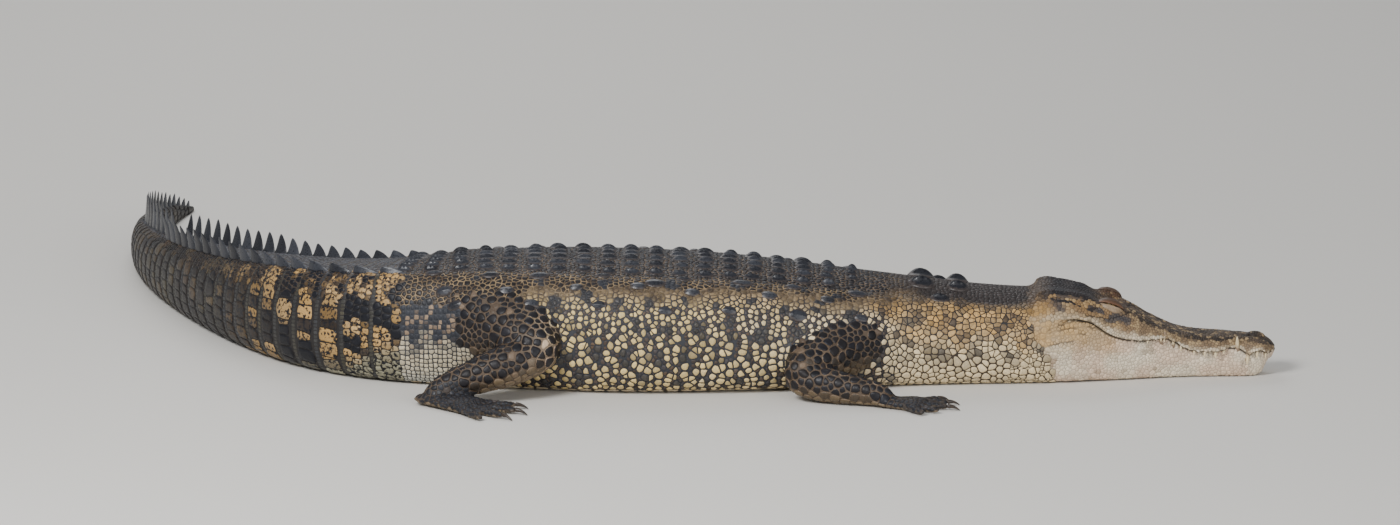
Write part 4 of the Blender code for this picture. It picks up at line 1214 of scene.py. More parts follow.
def on_a_line(spots, share):
    """Whether spots lie in the mouth's slit or in a fold, where no scale grows."""
    in_mouth = (np.abs(spots[:, 2] - lip_height(share)) < 0.0018) & (share < 0.86)
    return in_mouth | (from_folds(spots) <= 0.0015)


def head_radius(spots, ways):
    """The size of the head's scales: fine on the snout and round the eyes, coarser towards the nape."""
    share, level = head_measures(spots)
    size = np.interp(share, [0.0, 0.15, 0.5, 0.62, 0.72, 0.85, 1.0],
                     [0.0022, 0.0027, 0.0029, 0.0024, 0.0027, 0.0034, 0.0044])
    size = size * np.where(level < 0, 1.15, 1.0)
    return np.where(level < -0.8, 0.0046, size) * (0.88 + 0.35 * (cloud(spots, 0.012, 60) > 0.6))


# The head's coat: thin, smooth scales tight on the bone, dark on top, tan and brown at the sides, cream along
# the lip and the jaw, and gold at the jaw's hinge.
HEAD_BACK = 0.468
head_rings = int(np.searchsorted(places, HEAD_BACK))
spots, ways, radii = scatter(tube_points, tube_quads[:head_rings * RING], head_radius, rng)
share, level = head_measures(spots)
kept = ~on_a_line(spots, share) & ~under_lids(spots) & (spots[:, 2] > 0.0035)
kept &= share * HEAD_LENGTH < jaw_line(spots[:, 2]) - 0.4 * radii
spots, ways, radii, share, level = spots[kept], ways[kept], radii[kept], share[kept], level[kept]
top = mix(SNOUT_BROWN, DARK, 0.75 * ramp(cloud(spots, 0.01, 61), 0.2, 0.8))
top = mix(top, TAN, 0.75 * ramp(cloud(spots, 0.005, 62), 0.55, 0.78) * ramp(share, 0.78, 0.62))
top = mix(top, mix(BLUE_BLACK, SOOT, cloud(spots, 0.02, 92)), ramp(share, 0.72, 0.8))
brow = bell(share - 0.68, 0.05) * ramp(level, 0.7, 1.0)
top = mix(top, RUST, 0.6 * brow * cloud(spots, 0.009, 93))
side_tone = mix(TAN, TAUPE, ramp(cloud(spots, 0.01, 63), 0.3, 0.62))
side_tone = mix(side_tone, OCHRE, 0.3 * ramp(share, 0.55, 0.7) * cloud(spots, 0.02, 94))
smear = ramp(cloud(spots * [0.6, 1, 1], 0.015, 64), 0.56, 0.7) * ramp(share, 0.55, 0.62)
smear = smear * ramp(share, 0.98, 0.9) * ramp(level, 0.25, 0.45) * ramp(level, 0.85, 0.7)
side_tone = mix(side_tone, SLATE * 0.7, 0.85 * smear)
lip_tone = mix(JAW_CREAM, TAN, np.maximum(0.8 * cloud(spots, 0.012, 65), 0.75 * ramp(share, 0.68, 0.82)))
crown = mix(lip_tone, side_tone, ramp(level + 0.2 * (cloud(spots, 0.014, 66) - 0.5), 0.12, 0.42))
ear_band = ramp(share, 0.73, 0.77) * ramp(share, 0.99, 0.88)
dark_from = 0.64 + 0.14 * ramp(share, 0.5, 0.6) + 0.18 * ear_band
roof = 0.6 * ramp(ways[:, 2], 0.74, 0.92) * ramp(share, 0.66, 0.72)
crown = mix(crown, top, ramp(level + roof + 0.2 * (cloud(spots, 0.014, 67) - 0.5) - dark_from, 0.0, 0.15))
jaw_tone = mix(JAW_CREAM, PINK, 0.6 * ramp(cloud(spots, 0.03, 68), 0.3, 0.8))
jaw_tone = mix(jaw_tone, TAUPE, 0.45 * ramp(cloud(spots, 0.012, 69), 0.64, 0.8) * ramp(share, 0.4, 0.5))
hinge = 0.85 * ramp(level, -0.62, -0.22) * ramp(share, 0.6, 0.78)
jaw_tone = mix(jaw_tone, mix(GOLD, TAN, cloud(spots, 0.02, 95)), hinge)
crown = np.where((level < 0)[:, None], jaw_tone, crown)
nape = ramp(share, 0.93, 1.0) * ramp(level, 0.05, 0.2)
crown = mix(crown, mix(GOLD * 0.8, BROWN, ramp(level, 0.4, 0.85)), 0.6 * nape)
rim = crown * np.where(level < 0, 0.8, 0.62 - 0.16 * ramp(level, 0.5, 0.9))[:, None]
back = across(ways, plain([-1.0, 0, 0], spots))
off = 0.3 - spots[:, 2] - 0.3 * np.minimum(np.abs(spots[:, 1]), 0.12)
root = on_map(share * HEAD_LENGTH, np.sign(spots[:, 1]) * off)
for piece, mine in (("head", level >= 0), ("jaw", level < 0)):
    sow(piece, spots[mine], ways[mine], back[mine], 1.6 * radii[mine], root[mine],
        speckled(crown[mine], 0.08), rim[mine], 0.001, shoulder=0.88, groove=0.0004, weight=radii[mine])

# Cuts along the mouth and the folds, which no scale crosses. They are seeds of no piece.
lip_run = np.linspace(0.004, 0.9, 170) * HEAD_LENGTH
for sign in (1, -1):
    lip_share = lip_run / HEAD_LENGTH
    lines = [on_body(lip_run, sign * head_size(LIP_WIDTH, lip_share), lip_height(lip_share))]
    margins = [0.0012] * len(lip_run)
    for fold in FOLDS:
        run, up = np.array(fold).T * [[HEAD_LENGTH], [1]]
        steps = np.linspace(run[0], run[-1], int(abs(run[-1] - run[0]) / 0.002))
        order = np.argsort(run)
        hits = [skin_tree.ray_cast(Vector((SNOUT_X - x, sign * 0.5, z)), Vector((0, -sign, 0)))[0]
                for x, z in zip(steps, np.interp(steps, run[order], up[order]))]
        lines.append(np.array([hit for hit in hits if hit]))
        margins += [0.0006] * len(lines[-1])
    spots = np.concatenate(lines)
    sow("", spots, plain([0.0, sign, 0.0], spots), plain([-1.0, 0, 0], spots), 0.001, plain([0, 0], spots),
        0, 0, 0, groove=margins)


def fill_bare(points, faces, radius, wanted):
    """Granules on ground that is still bare, each in the colours of the scale nearest to it."""
    made = {key: np.concatenate([bed[key] for bed in beds]) for key in beds[0]}
    low, high = points[np.unique(np.concatenate(faces))].min(0), points.max(0)
    close = np.all((made["at"] > low - 0.02) & (made["at"] < high + 0.02), axis=1) & (made["piece"] != "")
    taken = made["at"][close].tolist(), (made["reach"][close] / 1.75).tolist()
    spots, ways, _ = scatter(points, faces, lambda spots, ways: np.full(len(spots), radius), rng, 30, taken)
    kept = wanted(spots) & (spots[:, 2] > 0.003)
    spots, ways = spots[kept], ways[kept]
    nearest = nearest_in(tree_of_spots(made["at"], np.flatnonzero(made["piece"] != "")), spots)
    for piece in dict.fromkeys(made["piece"][nearest]):
        mine = made["piece"][nearest] == piece
        like = nearest[mine]
        back = across(ways[mine], made["back"][like])
        sow(piece, spots[mine], ways[mine], back, 1.75 * radius, made["root"][like],
            made["crown"][like] * 0.9, made["rim"][like], 0.0008 + 0.08 * radius, shoulder=0.85,
            groove=0.0006, weight=radius)


# Fine granules fill the creases where the legs move, and the ground that is left bare on the head.
CREASE_GRANULE, FACE_GRANULE = 0.0042, 0.0026
for leg in legs:
    def in_the_joint(spots):
        """Whether spots lie on the leg's side of the web of skin."""
        far = from_trunk(spots)
        return (distance_to(leg, spots) < 1.0) & (far > -LAP) & (far < 0.03)

    fill_bare(leg["points"], leg["faces"], CREASE_GRANULE, in_the_joint)
    low, high = leg["box"]
    near = np.all((tube_points > low) & (tube_points < high), axis=1)
    fill_bare(tube_points, [face for face in tube_quads if near[face[0]]], CREASE_GRANULE,
              lambda spots: distance_to(leg, spots) > -LAP)
fill_bare(tube_points, tube_quads[:(head_rings + 8) * RING], FACE_GRANULE,
          lambda spots: ~under_lids(spots) & ~on_a_line(spots, head_share(spots)))

# --------------------
# The scales themselves: horn that grew out from a middle until it met its neighbours. Each seed takes the
# ground nearest to it as one flat face, and Geometry Nodes raise a solid, low dome there.

plan = {key: np.concatenate([bed[key] for bed in beds]) for key in beds[0]}
plan["side"] = np.cross(plan["out"], plan["back"])


def clipped(polygon, x, y, limit):
    """The part of a polygon where x and y run no further than limit."""
    kept = []
    last = polygon[-1]
    last_over = last[0] * x + last[1] * y - limit
    for point in polygon:
        over = point[0] * x + point[1] * y - limit
        if (over > 0) != (last_over > 0):
            t = last_over / (last_over - over)
            kept.append((last[0] + (point[0] - last[0]) * t, last[1] + (point[1] - last[1]) * t))
        if over <= 0:
            kept.append(point)
        last, last_over = point, over
    return kept


def scale_outlines(plan):
    """The outline of each scale, in metres rearward and sideways of its middle."""
    tree = tree_of_spots(plan["at"])
    spots, ways, backs, asides, reaches, grooves, weights = (
        plan[key].tolist() for key in ("at", "out", "back", "side", "reach", "groove", "weight"))
    circle = [(math.cos(math.pi * k / 5), math.sin(math.pi * k / 5)) for k in range(10)]
    cuts = (plan["piece"] == "").tolist()
    outlines = []
    for i, spot in enumerate(spots):
        reach, way, back, aside = reaches[i], ways[i], backs[i], asides[i]
        polygon = [(reach * c, reach * s) for c, s in circle]
        for _, j, distance in tree.find_range(spot, 2.3 * reach):
            other = ways[j]
            bend = 0.5 + 0.5 * (way[0] * other[0] + way[1] * other[1] + way[2] * other[2])
            if j == i or distance < 1e-5 or bend < 0.5:
                continue
            d = [b - a for a, b in zip(spot, spots[j])]
            x = d[0] * back[0] + d[1] * back[1] + d[2] * back[2]
            y = d[0] * aside[0] + d[1] * aside[1] + d[2] * aside[2]
            flat = math.hypot(x, y)
            if flat < 1e-5:
                continue
            run = flat / bend
            limit = 0.5 * (run + (weights[i] ** 2 - weights[j] ** 2) / run) - grooves[i] / 2
            if cuts[j]:
                limit = run - grooves[j]
            polygon = clipped(polygon, x / flat, y / flat, limit)
            if len(polygon) < 3:
                break
        outlines.append(polygon)
    return outlines


SUNK = 0.0007  # how deep a scale's foot lies under the skin
LARGE_SCALE = 0.011  # the side of a square scale that has its corners rounded and a cap


def store(mesh, name, values, last=None, domain="POINT"):
    """Writes an attribute: a number for each point or face, or a vector or colour with a last part."""
    values = np.asarray(values, np.float32)
    if last is not None:
        values = np.concatenate([values, np.full((len(values), 1), last, np.float32)], 1)
    kind, field = {1: ("FLOAT", "value"), 3: ("FLOAT_VECTOR", "vector"), 4: ("FLOAT_COLOR", "color")}[
        values.shape[1] if values.ndim > 1 else 1]
    mesh.attributes.new(name, kind, domain)
    mesh.attributes[name].data.foreach_set(field, values.ravel())


def scale_sheet(plan, outlines, chosen):
    """A mesh with one flat face for each chosen scale, laid on the skin, and what the nodes need to know."""
    points, faces, owner, spots = [], [], [], []
    for i in chosen:
        polygon = outlines[i]
        if len(polygon) < 3:
            continue
        area = 0.5 * sum(a[0] * b[1] - b[0] * a[1] for a, b in zip(polygon, polygon[1:] + polygon[:1]))
        reach = plan["reach"][i]
        if area < 0.06 * reach * reach:
            continue
        if area > LARGE_SCALE ** 2:
            polygon = [(a[0] * (1 - t) + b[0] * t, a[1] * (1 - t) + b[1] * t)
                       for a, b in zip(polygon, polygon[1:] + polygon[:1]) for t in (0.25, 0.75)]
        else:  # short sides are dropped
            size = math.sqrt(area)
            polygon = [b for a, b in zip([polygon[-1]] + polygon[:-1], polygon)
                       if math.hypot(a[0] - b[0], a[1] - b[1]) > 0.16 * size] or polygon
            if len(polygon) < 3:
                continue
        faces.append(list(range(len(points), len(points) + len(polygon))))
        points += [plan["at"][i] + x * plan["back"][i] + y * plan["side"][i] for x, y in polygon]
        spots += [(x / reach, y / reach) for x, y in polygon]
        owner.append(i)
    sizes = np.array([len(face) for face in faces])
    corner_owner = np.repeat(owner, sizes)
    ground = np.array([skin_tree.find_nearest(Vector(point))[0] for point in points])
    sunk = ground - SUNK * plan["out"][corner_owner]
    starts = np.concatenate([[0], np.cumsum(sizes)[:-1]])
    middles = np.add.reduceat(sunk, starts) / sizes[:, None]
    # how far the skin rises under each scale
    bulging = np.sum((plan["at"][owner] - middles) * plan["out"][owner], 1) - SUNK
    mesh = bpy.data.meshes.new("sheet")
    mesh.from_pydata(sunk.tolist(), [], faces)
    store(mesh, "crown", plan["crown"][corner_owner], 1.0)
    store(mesh, "rim", plan["rim"][corner_owner], 1.0)
    store(mesh, "mottle", plan["mottle"][corner_owner])
    store(mesh, "root", plan["root"][corner_owner] + 0.0015 * np.array(spots), 0.0)
    store(mesh, "height", plan["height"][owner] + bulging.clip(0, 0.004), domain="FACE")
    store(mesh, "shoulder", plan["shoulder"][owner], domain="FACE")
    store(mesh, "large", sizes > 8, domain="FACE")
    return mesh


def new_group(name, **inputs):
    """A Geometry Nodes group with a mesh in and out, and its named inputs."""
    made = bpy.data.node_groups.new(name, "GeometryNodeTree")
    made.interface.new_socket("Geometry", in_out="INPUT", socket_type="NodeSocketGeometry")
    made.interface.new_socket("Geometry", in_out="OUTPUT", socket_type="NodeSocketGeometry")
    for title, kind in inputs.items():
        made.interface.new_socket(title.replace("_", " "), in_out="INPUT", socket_type="NodeSocket" + kind)
    return made, made.nodes.new("NodeGroupInput").outputs


raising, given = new_group("raise scales", Side_share="Float", Crown_share="Float", Crown_size="Float",
                           Cap_size="Float", Sunk="Float", Material="Material")
height, shoulder, large = (node(raising, "GeometryNodeInputNamedAttribute", Name=name)
                           for name in ("height", "shoulder", "large"))
whole_height = node(raising, "ShaderNodeMath", {"operation": "ADD"}, _0=height, _1=given["Sunk"])
lower = node(raising, "ShaderNodeMath", {"operation": "ADD"}, _0=given["Side share"], _1=given["Crown share"])
cap_share = node(raising, "ShaderNodeMath", {"operation": "SUBTRACT"}, _0=1.0, _1=lower)
chosen = node(raising, "FunctionNodeInputBool", {"boolean": True})
is_large = node(raising, "FunctionNodeCompare", {"operation": "GREATER_THAN"}, _0=large, _1=0.5)
STORE = {"data_type": "FLOAT", "domain": "POINT"}
flat = node(raising, "GeometryNodeStoreNamedAttribute", STORE, Geometry=given["Geometry"], Name="dome",
            Value=0.0)
state = flat
for reach, share, size, level, only in (  # the sides, the crown, and on large scales a cap
    (whole_height, given["Side share"], shoulder, 0.5, None),
    (height, given["Crown share"], given["Crown size"], 0.85, None),
    (height, cap_share, given["Cap size"], 1.0, is_large),
):
    rise = node(raising, "ShaderNodeMath", {"operation": "MULTIPLY"}, _0=reach, _1=share)
    if only:
        chosen = node(raising, "FunctionNodeBooleanMath", {"operation": "AND"}, _0=chosen, _1=only)
    pushed = node(raising, "GeometryNodeExtrudeMesh", {"mode": "FACES"}, Mesh=state, Selection=chosen,
                  Offset_Scale=rise, Individual=True)
    chosen = pushed.outputs["Top"]
    scaled = node(raising, "GeometryNodeScaleElements", {"domain": "FACE"}, Geometry=pushed, Selection=chosen,
                  Scale=size)
    state = node(raising, "GeometryNodeStoreNamedAttribute", STORE, Geometry=scaled, Selection=chosen,
                 Name="dome", Value=level)
feet = node(raising, "GeometryNodeFlipFaces", Mesh=flat)
whole = node(raising, "GeometryNodeJoinGeometry")
feed(raising, whole, Geometry=state)
feed(raising, whole, Geometry=feet)
welded = node(raising, "GeometryNodeMergeByDistance", Geometry=whole, Distance=0.00001)
smooth = node(raising, "GeometryNodeSetShadeSmooth", _0=welded)
real = node(raising, "GeometryNodeRealizeInstances", _0=smooth)
painted = node(raising, "GeometryNodeSetMaterial", Geometry=real, Material=given["Material"])
node(raising, "NodeGroupOutput", Geometry=painted)

COLOUR_MIX = {"data_type": "RGBA"}
COLOUR_TIMES = {"data_type": "RGBA", "blend_type": "MULTIPLY"}


def keratin(name, wear, grain, gloss, bumps, mottled=False):
    """Horn with a worn edge between rim and crown, a fine grain and, on hide, a black mottle. In metres."""
    made, tree, shader = new_material(name)
    where = node(tree, "ShaderNodeTexCoord").outputs["Object"]
    dome, crown, rim = (node(tree, "ShaderNodeAttribute", {"attribute_name": key})
                        for key in ("dome", "crown", "rim"))
    size, detail, amount, low, high = wear
    worn = node(tree, "ShaderNodeTexNoise", Vector=where, Scale=1 / size, Detail=detail)
    worn = node(tree, "ShaderNodeMath", {"operation": "MULTIPLY_ADD"}, _0=worn, _1=amount,
                _2=dome.outputs["Fac"])
    colour = node(tree, "ShaderNodeMix", COLOUR_MIX, _6=rim, _7=crown,
                  _0=node(tree, "ShaderNodeMapRange", _0=worn, _1=low, _2=high))
    if mottled:
        mottle = node(tree, "ShaderNodeAttribute", {"attribute_name": "mottle"})
        black = node(tree, "ShaderNodeTexNoise", Vector=where, Scale=1 / 0.0065, Detail=3.0)
        black = node(tree, "ShaderNodeMapRange", _0=black, _1=0.5, _2=0.58)
        black = node(tree, "ShaderNodeMath", {"operation": "MULTIPLY"}, _0=black, _1=mottle.outputs["Fac"])
        colour = node(tree, "ShaderNodeMix", COLOUR_MIX, _0=black, _6=colour, _7=(*BLUE_BLACK, 1))
        feed(tree, shader, Specular_IOR_Level=0.28)
    size, low, high = grain
    fine = node(tree, "ShaderNodeTexNoise", Vector=where, Scale=1 / size, Detail=4.0)
    fine = node(tree, "ShaderNodeMapRange", _0=fine, _1=0.3, _2=0.7, _3=low, _4=high)
    colour = node(tree, "ShaderNodeMix", COLOUR_TIMES, _0=1.0, _6=colour, _7=fine)
    size, low, high = gloss
    rough = node(tree, "ShaderNodeTexNoise", Vector=where, Scale=1 / size, Detail=2.0)
    rough = node(tree, "ShaderNodeMapRange", _0=rough, _1=0.35, _2=0.65, _3=low, _4=high)
    strength, depth, size, detail = bumps
    relief = node(tree, "ShaderNodeTexNoise", Vector=where, Scale=1 / size, Detail=detail)
    relief = node(tree, "ShaderNodeBump", Strength=strength, Distance=depth, Height=relief)
    feed(tree, shader, Base_Color=colour, Roughness=rough, Normal=relief)
    return made


# Dry keratin, grown in layers: a dull sheen. Each scale has its own crown and rim colour, and the back and
# tail a black mottle 6.5 mm across. The grain is 2 mm, coarser than horn's own, so that it shows.
scale_finish = keratin("keratin_scales", (0.003, 3.0, 0.55, 0.6, 0.7), (0.0022, 0.78, 1.18),
                       (0.003, 0.34, 0.52), (0.25, 0.0006, 0.0014, 3.0), mottled=True)


def set_inputs(modifier, values):
    """Sets a modifier's inputs, each by its socket's identifier."""
    for item in modifier.node_group.interface.items_tree:
        if item.in_out == "INPUT" and item.name in values:
            modifier[item.identifier] = values[item.name]


def add_bake_map(mesh):
    """A map that holds every scale as a small patch at its root's place."""
    root = np.empty(len(mesh.vertices) * 3, np.float32)
    mesh.attributes["root"].data.foreach_get("vector", root)
    corner = np.empty(len(mesh.loops), np.int32)
    mesh.loops.foreach_get("vertex_index", corner)
    made = mesh.uv_layers.new(name="OFBake")
    made.data.foreach_set("uv", root.reshape(-1, 3)[corner, :2].ravel())
    mesh.attributes.remove(mesh.attributes["root"])


outlines = scale_outlines(plan)
for piece in dict.fromkeys(plan["piece"][plan["piece"] != ""]):
    sheet = scale_sheet(plan, outlines, np.where(plan["piece"] == piece)[0])
    coat = bpy.data.objects.new(f"scales_{piece}", sheet)
    scene.collection.objects.link(coat)
    raiser = coat.modifiers.new("raise", "NODES")
    raiser.node_group = raising
    set_inputs(raiser, {"Side share": 0.62, "Crown share": 0.27, "Crown size": 0.66, "Cap size": 0.5,
                        "Sunk": SUNK, "Material": scale_finish})
    mesh = baked(coat)
    mesh.name = coat.name
    heights = np.empty(len(mesh.vertices) * 3, np.float32)
    mesh.vertices.foreach_get("co", heights)
    heights[2::3] = heights[2::3].clip(0.0002)  # pressed flat where the body lies on the floor
    mesh.vertices.foreach_set("co", heights)
    add_bake_map(mesh)
    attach(coat, "root")

# --------------------
# The horny plates: keeled scutes over bone down the back, the nape's humps, loose scutes on the flanks and
# the crest's fins, all of dark horn seated in the hide. Each kind is one shape, and Geometry Nodes set it
# wherever the plan asks.


def shape_of_rings(name, rings):
    """A closed shape from rings of (x, y, z, dome), where dome runs from 0 at the rim to 1 on the crown."""
    work = bmesh.new()
    layer = work.verts.layers.float.new("dome")
    grid = [[work.verts.new(point[:3]) for point in ring] for ring in rings]
    for vert, point in zip(work.verts, (point for ring in rings for point in ring)):
        vert[layer] = point[3]
    for first, second in zip(grid, grid[1:]):
        for k, vert in enumerate(first):
            n = (k + 1) % len(first)
            work.faces.new((vert, first[n], second[n], second[k]))
    work.faces.new(grid[0][::-1])
    work.faces.new(grid[-1])
    bmesh.ops.remove_doubles(work, verts=work.verts, dist=0.0001)
    bmesh.ops.recalc_face_normals(work, faces=work.faces)
    mesh = bpy.data.meshes.new(name)
    work.to_mesh(mesh)
    work.free()
    mesh.shade_smooth()
    made = bpy.data.objects.new(name, mesh)
    made.hide_render = True
    return made


def dome_shape(name, keel, count=7, sides=20):
    """An oval plate a unit long and high from its middle, with a keel that peaks towards the rear."""
    rings = []
    for r in range(count + 1):
        out, ring = math.sin(math.pi / 2 * r / count), []
        for k in range(sides):
            x, y = out * math.cos(2 * math.pi * k / sides), out * math.sin(2 * math.pi * k / sides)
            ridge = bell(y, 0.2) * max(1 - (x - 0.12) ** 2 / 1.1, 0.0)
            up = (1 - keel) * (1 - out ** 2.6) ** 0.8 + keel * ridge * (1 - out ** 4)
            ring.append((x, y, up if r < count else -0.25, 1 - out))
        rings.append(ring)
    return shape_of_rings(name, rings)


def fin_shape(name, columns=18, peak=0.62, lean=0.2):
    """A crest scale a unit long and high: its front edge climbs in a bow, its rear edge falls steeply."""
    half = [(1.0, -0.15), (0.78, 0.12), (0.46, 0.4), (0.24, 0.75), (0.1, 0.95)]  # out and up, from the foot
    profile = half + [(0.0, 1.0)] + [(-out, up) for out, up in half[::-1]]
    rings = []
    for x in np.linspace(0, 1, columns + 1).tolist():
        past = max(0.0, (x - peak) / (1 - peak))
        rise = max(math.sin(math.pi / 2 * x / peak) ** 0.95 if x < peak else (1 - past ** 1.5) ** 0.8, 0.02)
        thin = (1 - 0.75 * past ** 1.5) * (0.35 + 0.65 * min(1.0, x / 0.25))
        rings.append([(
            x - 0.5 + lean * max(up, 0) * rise ** 2, out * thin, up * rise if up > 0 else up,
            1 - max(0.0, (x - 0.8) / 0.2) * 0.9 - 0.3 * max(0.0, up - 0.9) / 0.1) for out, up in profile])
    return shape_of_rings(name, rings)


setting, given = new_group("set plates", Shape="Object", Size="Float", Material="Material")
shape = node(setting, "GeometryNodeObjectInfo", Object=given["Shape"]).outputs["Geometry"]
turn, size = (node(setting, "GeometryNodeInputNamedAttribute", {"data_type": "FLOAT_VECTOR"}, Name=name)
              for name in ("turn", "size"))
turned = node(setting, "FunctionNodeEulerToRotation", _0=turn)
sized = node(setting, "ShaderNodeVectorMath", {"operation": "SCALE"}, _0=size, Scale=given["Size"])
spread = node(setting, "GeometryNodeInstanceOnPoints", Points=given["Geometry"], Instance=shape,
              Rotation=turned, Scale=sized)
real = node(setting, "GeometryNodeRealizeInstances", _0=spread)
painted = node(setting, "GeometryNodeSetMaterial", Geometry=real, Material=given["Material"])
node(setting, "NodeGroupOutput", Geometry=painted)


def set_plates(name, shape, material, spots):
    """One piece of many plates. A spot is a plate's middle, ways back and out, size, root and two colours."""
    mesh = bpy.data.meshes.new(name)
    mesh.from_pydata([tuple(spot["at"]) for spot in spots], [], [])
    turns = []
    for spot in spots:
        out, back = Vector(spot["out"]).normalized(), Vector(spot["back"])
        back = (back - out * back.dot(out)).normalized()
        turns.append(tuple(Matrix((back, out.cross(back), out)).transposed().to_euler()))
    store(mesh, "turn", turns)
    store(mesh, "size", [spot["size"] for spot in spots])
    store(mesh, "root", [spot["root"] for spot in spots], 0.0)
    store(mesh, "crown", [spot["crown"] for spot in spots], 1.0)
    store(mesh, "rim", [spot["rim"] for spot in spots], 1.0)
    made = bpy.data.objects.new(name, mesh)
    scene.collection.objects.link(made)
    setter = made.modifiers.new("set", "NODES")
    setter.node_group = setting
    set_inputs(setter, {"Shape": shape, "Size": 1.0, "Material": material})
    mesh = baked(made)
    mesh.name = name
    mesh.shade_smooth()
    add_bake_map(mesh)
    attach(made, "root")


def spot_on(hand, place, arc, size, crown, rim):
    """One plate's place in the plan, on the skin of a side."""
    at, out = on_skin(hand, np.array([place]), np.array([arc]))
    behind, _ = on_skin(hand, np.array([place + 0.004]), np.array([arc]))
    return {"at": at[0], "out": out[0], "back": (behind - at)[0], "size": size, "crown": crown, "rim": rim,
            "root": on_map(place, SIDES[hand][0] * arc)}


scute, loose = dome_shape("scute", 0.6), dome_shape("loose scute", 0.25)
SCUTE_PITCH = 0.046
back_spots, flank_spots, nape_spots = [], [], []
NAPE_PLATES = [  # place, metres out, half length, half width, height
    (0.6, 0.027, 0.023, 0.017, 0.013), (0.668, 0.03, 0.028, 0.02, 0.015),
    (0.634, 0.078, 0.021, 0.014, 0.01),
]
FLANK_ROWS = ((0.045, 0.098, 0.8), (0.17, 0.116, 0.86), (0.3, 0.125, 0.78))  # level, pitch, start
for hand, (sign, _) in SIDES.items():
    place = 0.8
    while place < 1.64:
        edge = float(along(SHIELD, place))
        near_neck = float(np.interp(place, [0.8, 0.9], [0.7, 1.0]))
        for column, at_edge in enumerate((0.17, 0.5, 0.84)):
            if column == 2 and place < 0.83:
                continue
            wobble = rng.normal(0, 0.0016, 2)
            half = 0.0178 * near_neck * float(rng.normal(1, 0.08))
            wide = min(0.0128, 0.135 * edge) * near_neck
            high = (0.0088 if column < 2 else 0.0098) * float(rng.normal(1, 0.08))
            tone = mix(BLUE_BLACK, SLATE * 0.6, rng.random() * 0.7)
            arc = edge * at_edge + wobble[1]
            back_spots.append(spot_on(hand, place + wobble[0], arc, (half, wide, high), tone, SOOT))
        place += SCUTE_PITCH
    for row, (level, pitch, start) in enumerate(FLANK_ROWS):
        place = start
        while place < 1.6:
            spread_out = rng.normal(0, [0.01, 0.006])
            at = place + spread_out[0]
            arc = float(edge_arc(at) + level * (floor_arc(at) - edge_arc(at)) + spread_out[1])
            size = 0.0155 * float(rng.normal(1, 0.15)) * (1.1 if row == 0 else 1.0)
            tone = mix(BLUE_BLACK, SLATE * 0.7, rng.random() * 0.6)
            spot = spot_on(hand, at, arc, (size, size * 0.62, 0.0052 if row < 2 else 0.0044), tone, SOOT)
            if min(distance_to(leg, spot["at"][None])[0] for leg in legs) > 0.012:
                flank_spots.append(spot)
            place += pitch
    for at, out, half, wide, high in NAPE_PLATES:
        nape_spots.append(spot_on(hand, at, out * 1.02, (half, wide, high + 0.002), BLUE_BLACK, SOOT))

fin = fin_shape("fin")
crest_spots = []
for start, length in whorls:
    middle = start + length * 0.5
    height = float(along(CREST_HEIGHT, start + 0.66 * length))
    single = start > CREST_MERGE - 0.01
    for sign in ((1, -1) if not single else (0,)):
        edge = float(along(SHIELD, middle)) if sign else 0.0
        top = float(along(TOP, middle) - along(SHIELD_DROP, middle))
        at = on_body(np.array([middle]), sign * edge * 0.96, top - 0.003)[0]
        heading = math.radians(float(along(SWING, middle)))
        back = on_body(np.array([middle + 0.01]), sign * edge * 0.96, top - 0.003)[0] - at
        slope = np.linalg.norm(back) / 0.01
        out = np.array([math.sin(heading) * sign * CREST_LEAN, math.cos(heading) * sign * CREST_LEAN, 1.0])
        crown = mix(SLATE * 0.55, BLUE_BLACK, rng.random())
        rim = mix(SLATE * 0.7, TAN, float(ramp(rng.random(), 0.3, 0.6)))
        foot = min(0.0085, 0.3 * float(along(SHIELD, middle)) + 0.0015)
        if not sign:
            foot = min(0.006, 0.5 * float(along(HALF_WIDTH, middle)))
        size = (length * 1.04 * slope, foot, height * float(rng.normal(1, 0.05)) + 0.004)
        crest_spots.append({"at": at, "out": out, "back": back, "size": size, "crown": crown, "rim": rim,
                            "root": on_map(middle, sign * edge)})

# Dark horn polished by water and brush: glossier and coarser in grain than the scales round it, worn paler
# along its edges.
horn_finish = keratin("scute_horn", (0.006, 2.0, 0.5, 0.42, 0.62), (0.004, 0.75, 1.35), (0.004, 0.26, 0.44),
                      (0.35, 0.0008, 0.0022, 4.0))
set_plates("back_scutes", scute, horn_finish, back_spots)
set_plates("flank_scutes", loose, horn_finish, flank_spots)
set_plates("nape_plates", scute, horn_finish, nape_spots)
set_plates("crest", fin, horn_finish, crest_spots)
for shape in (scute, loose, fin):
    bpy.data.objects.remove(shape)

# --------------------
# The face's small pieces: glass-like eyeballs in their sockets, fleshy lids almost shut over them, and the
# ears' flaps of bare skin. Each is a closed form of its own, seated in the head.

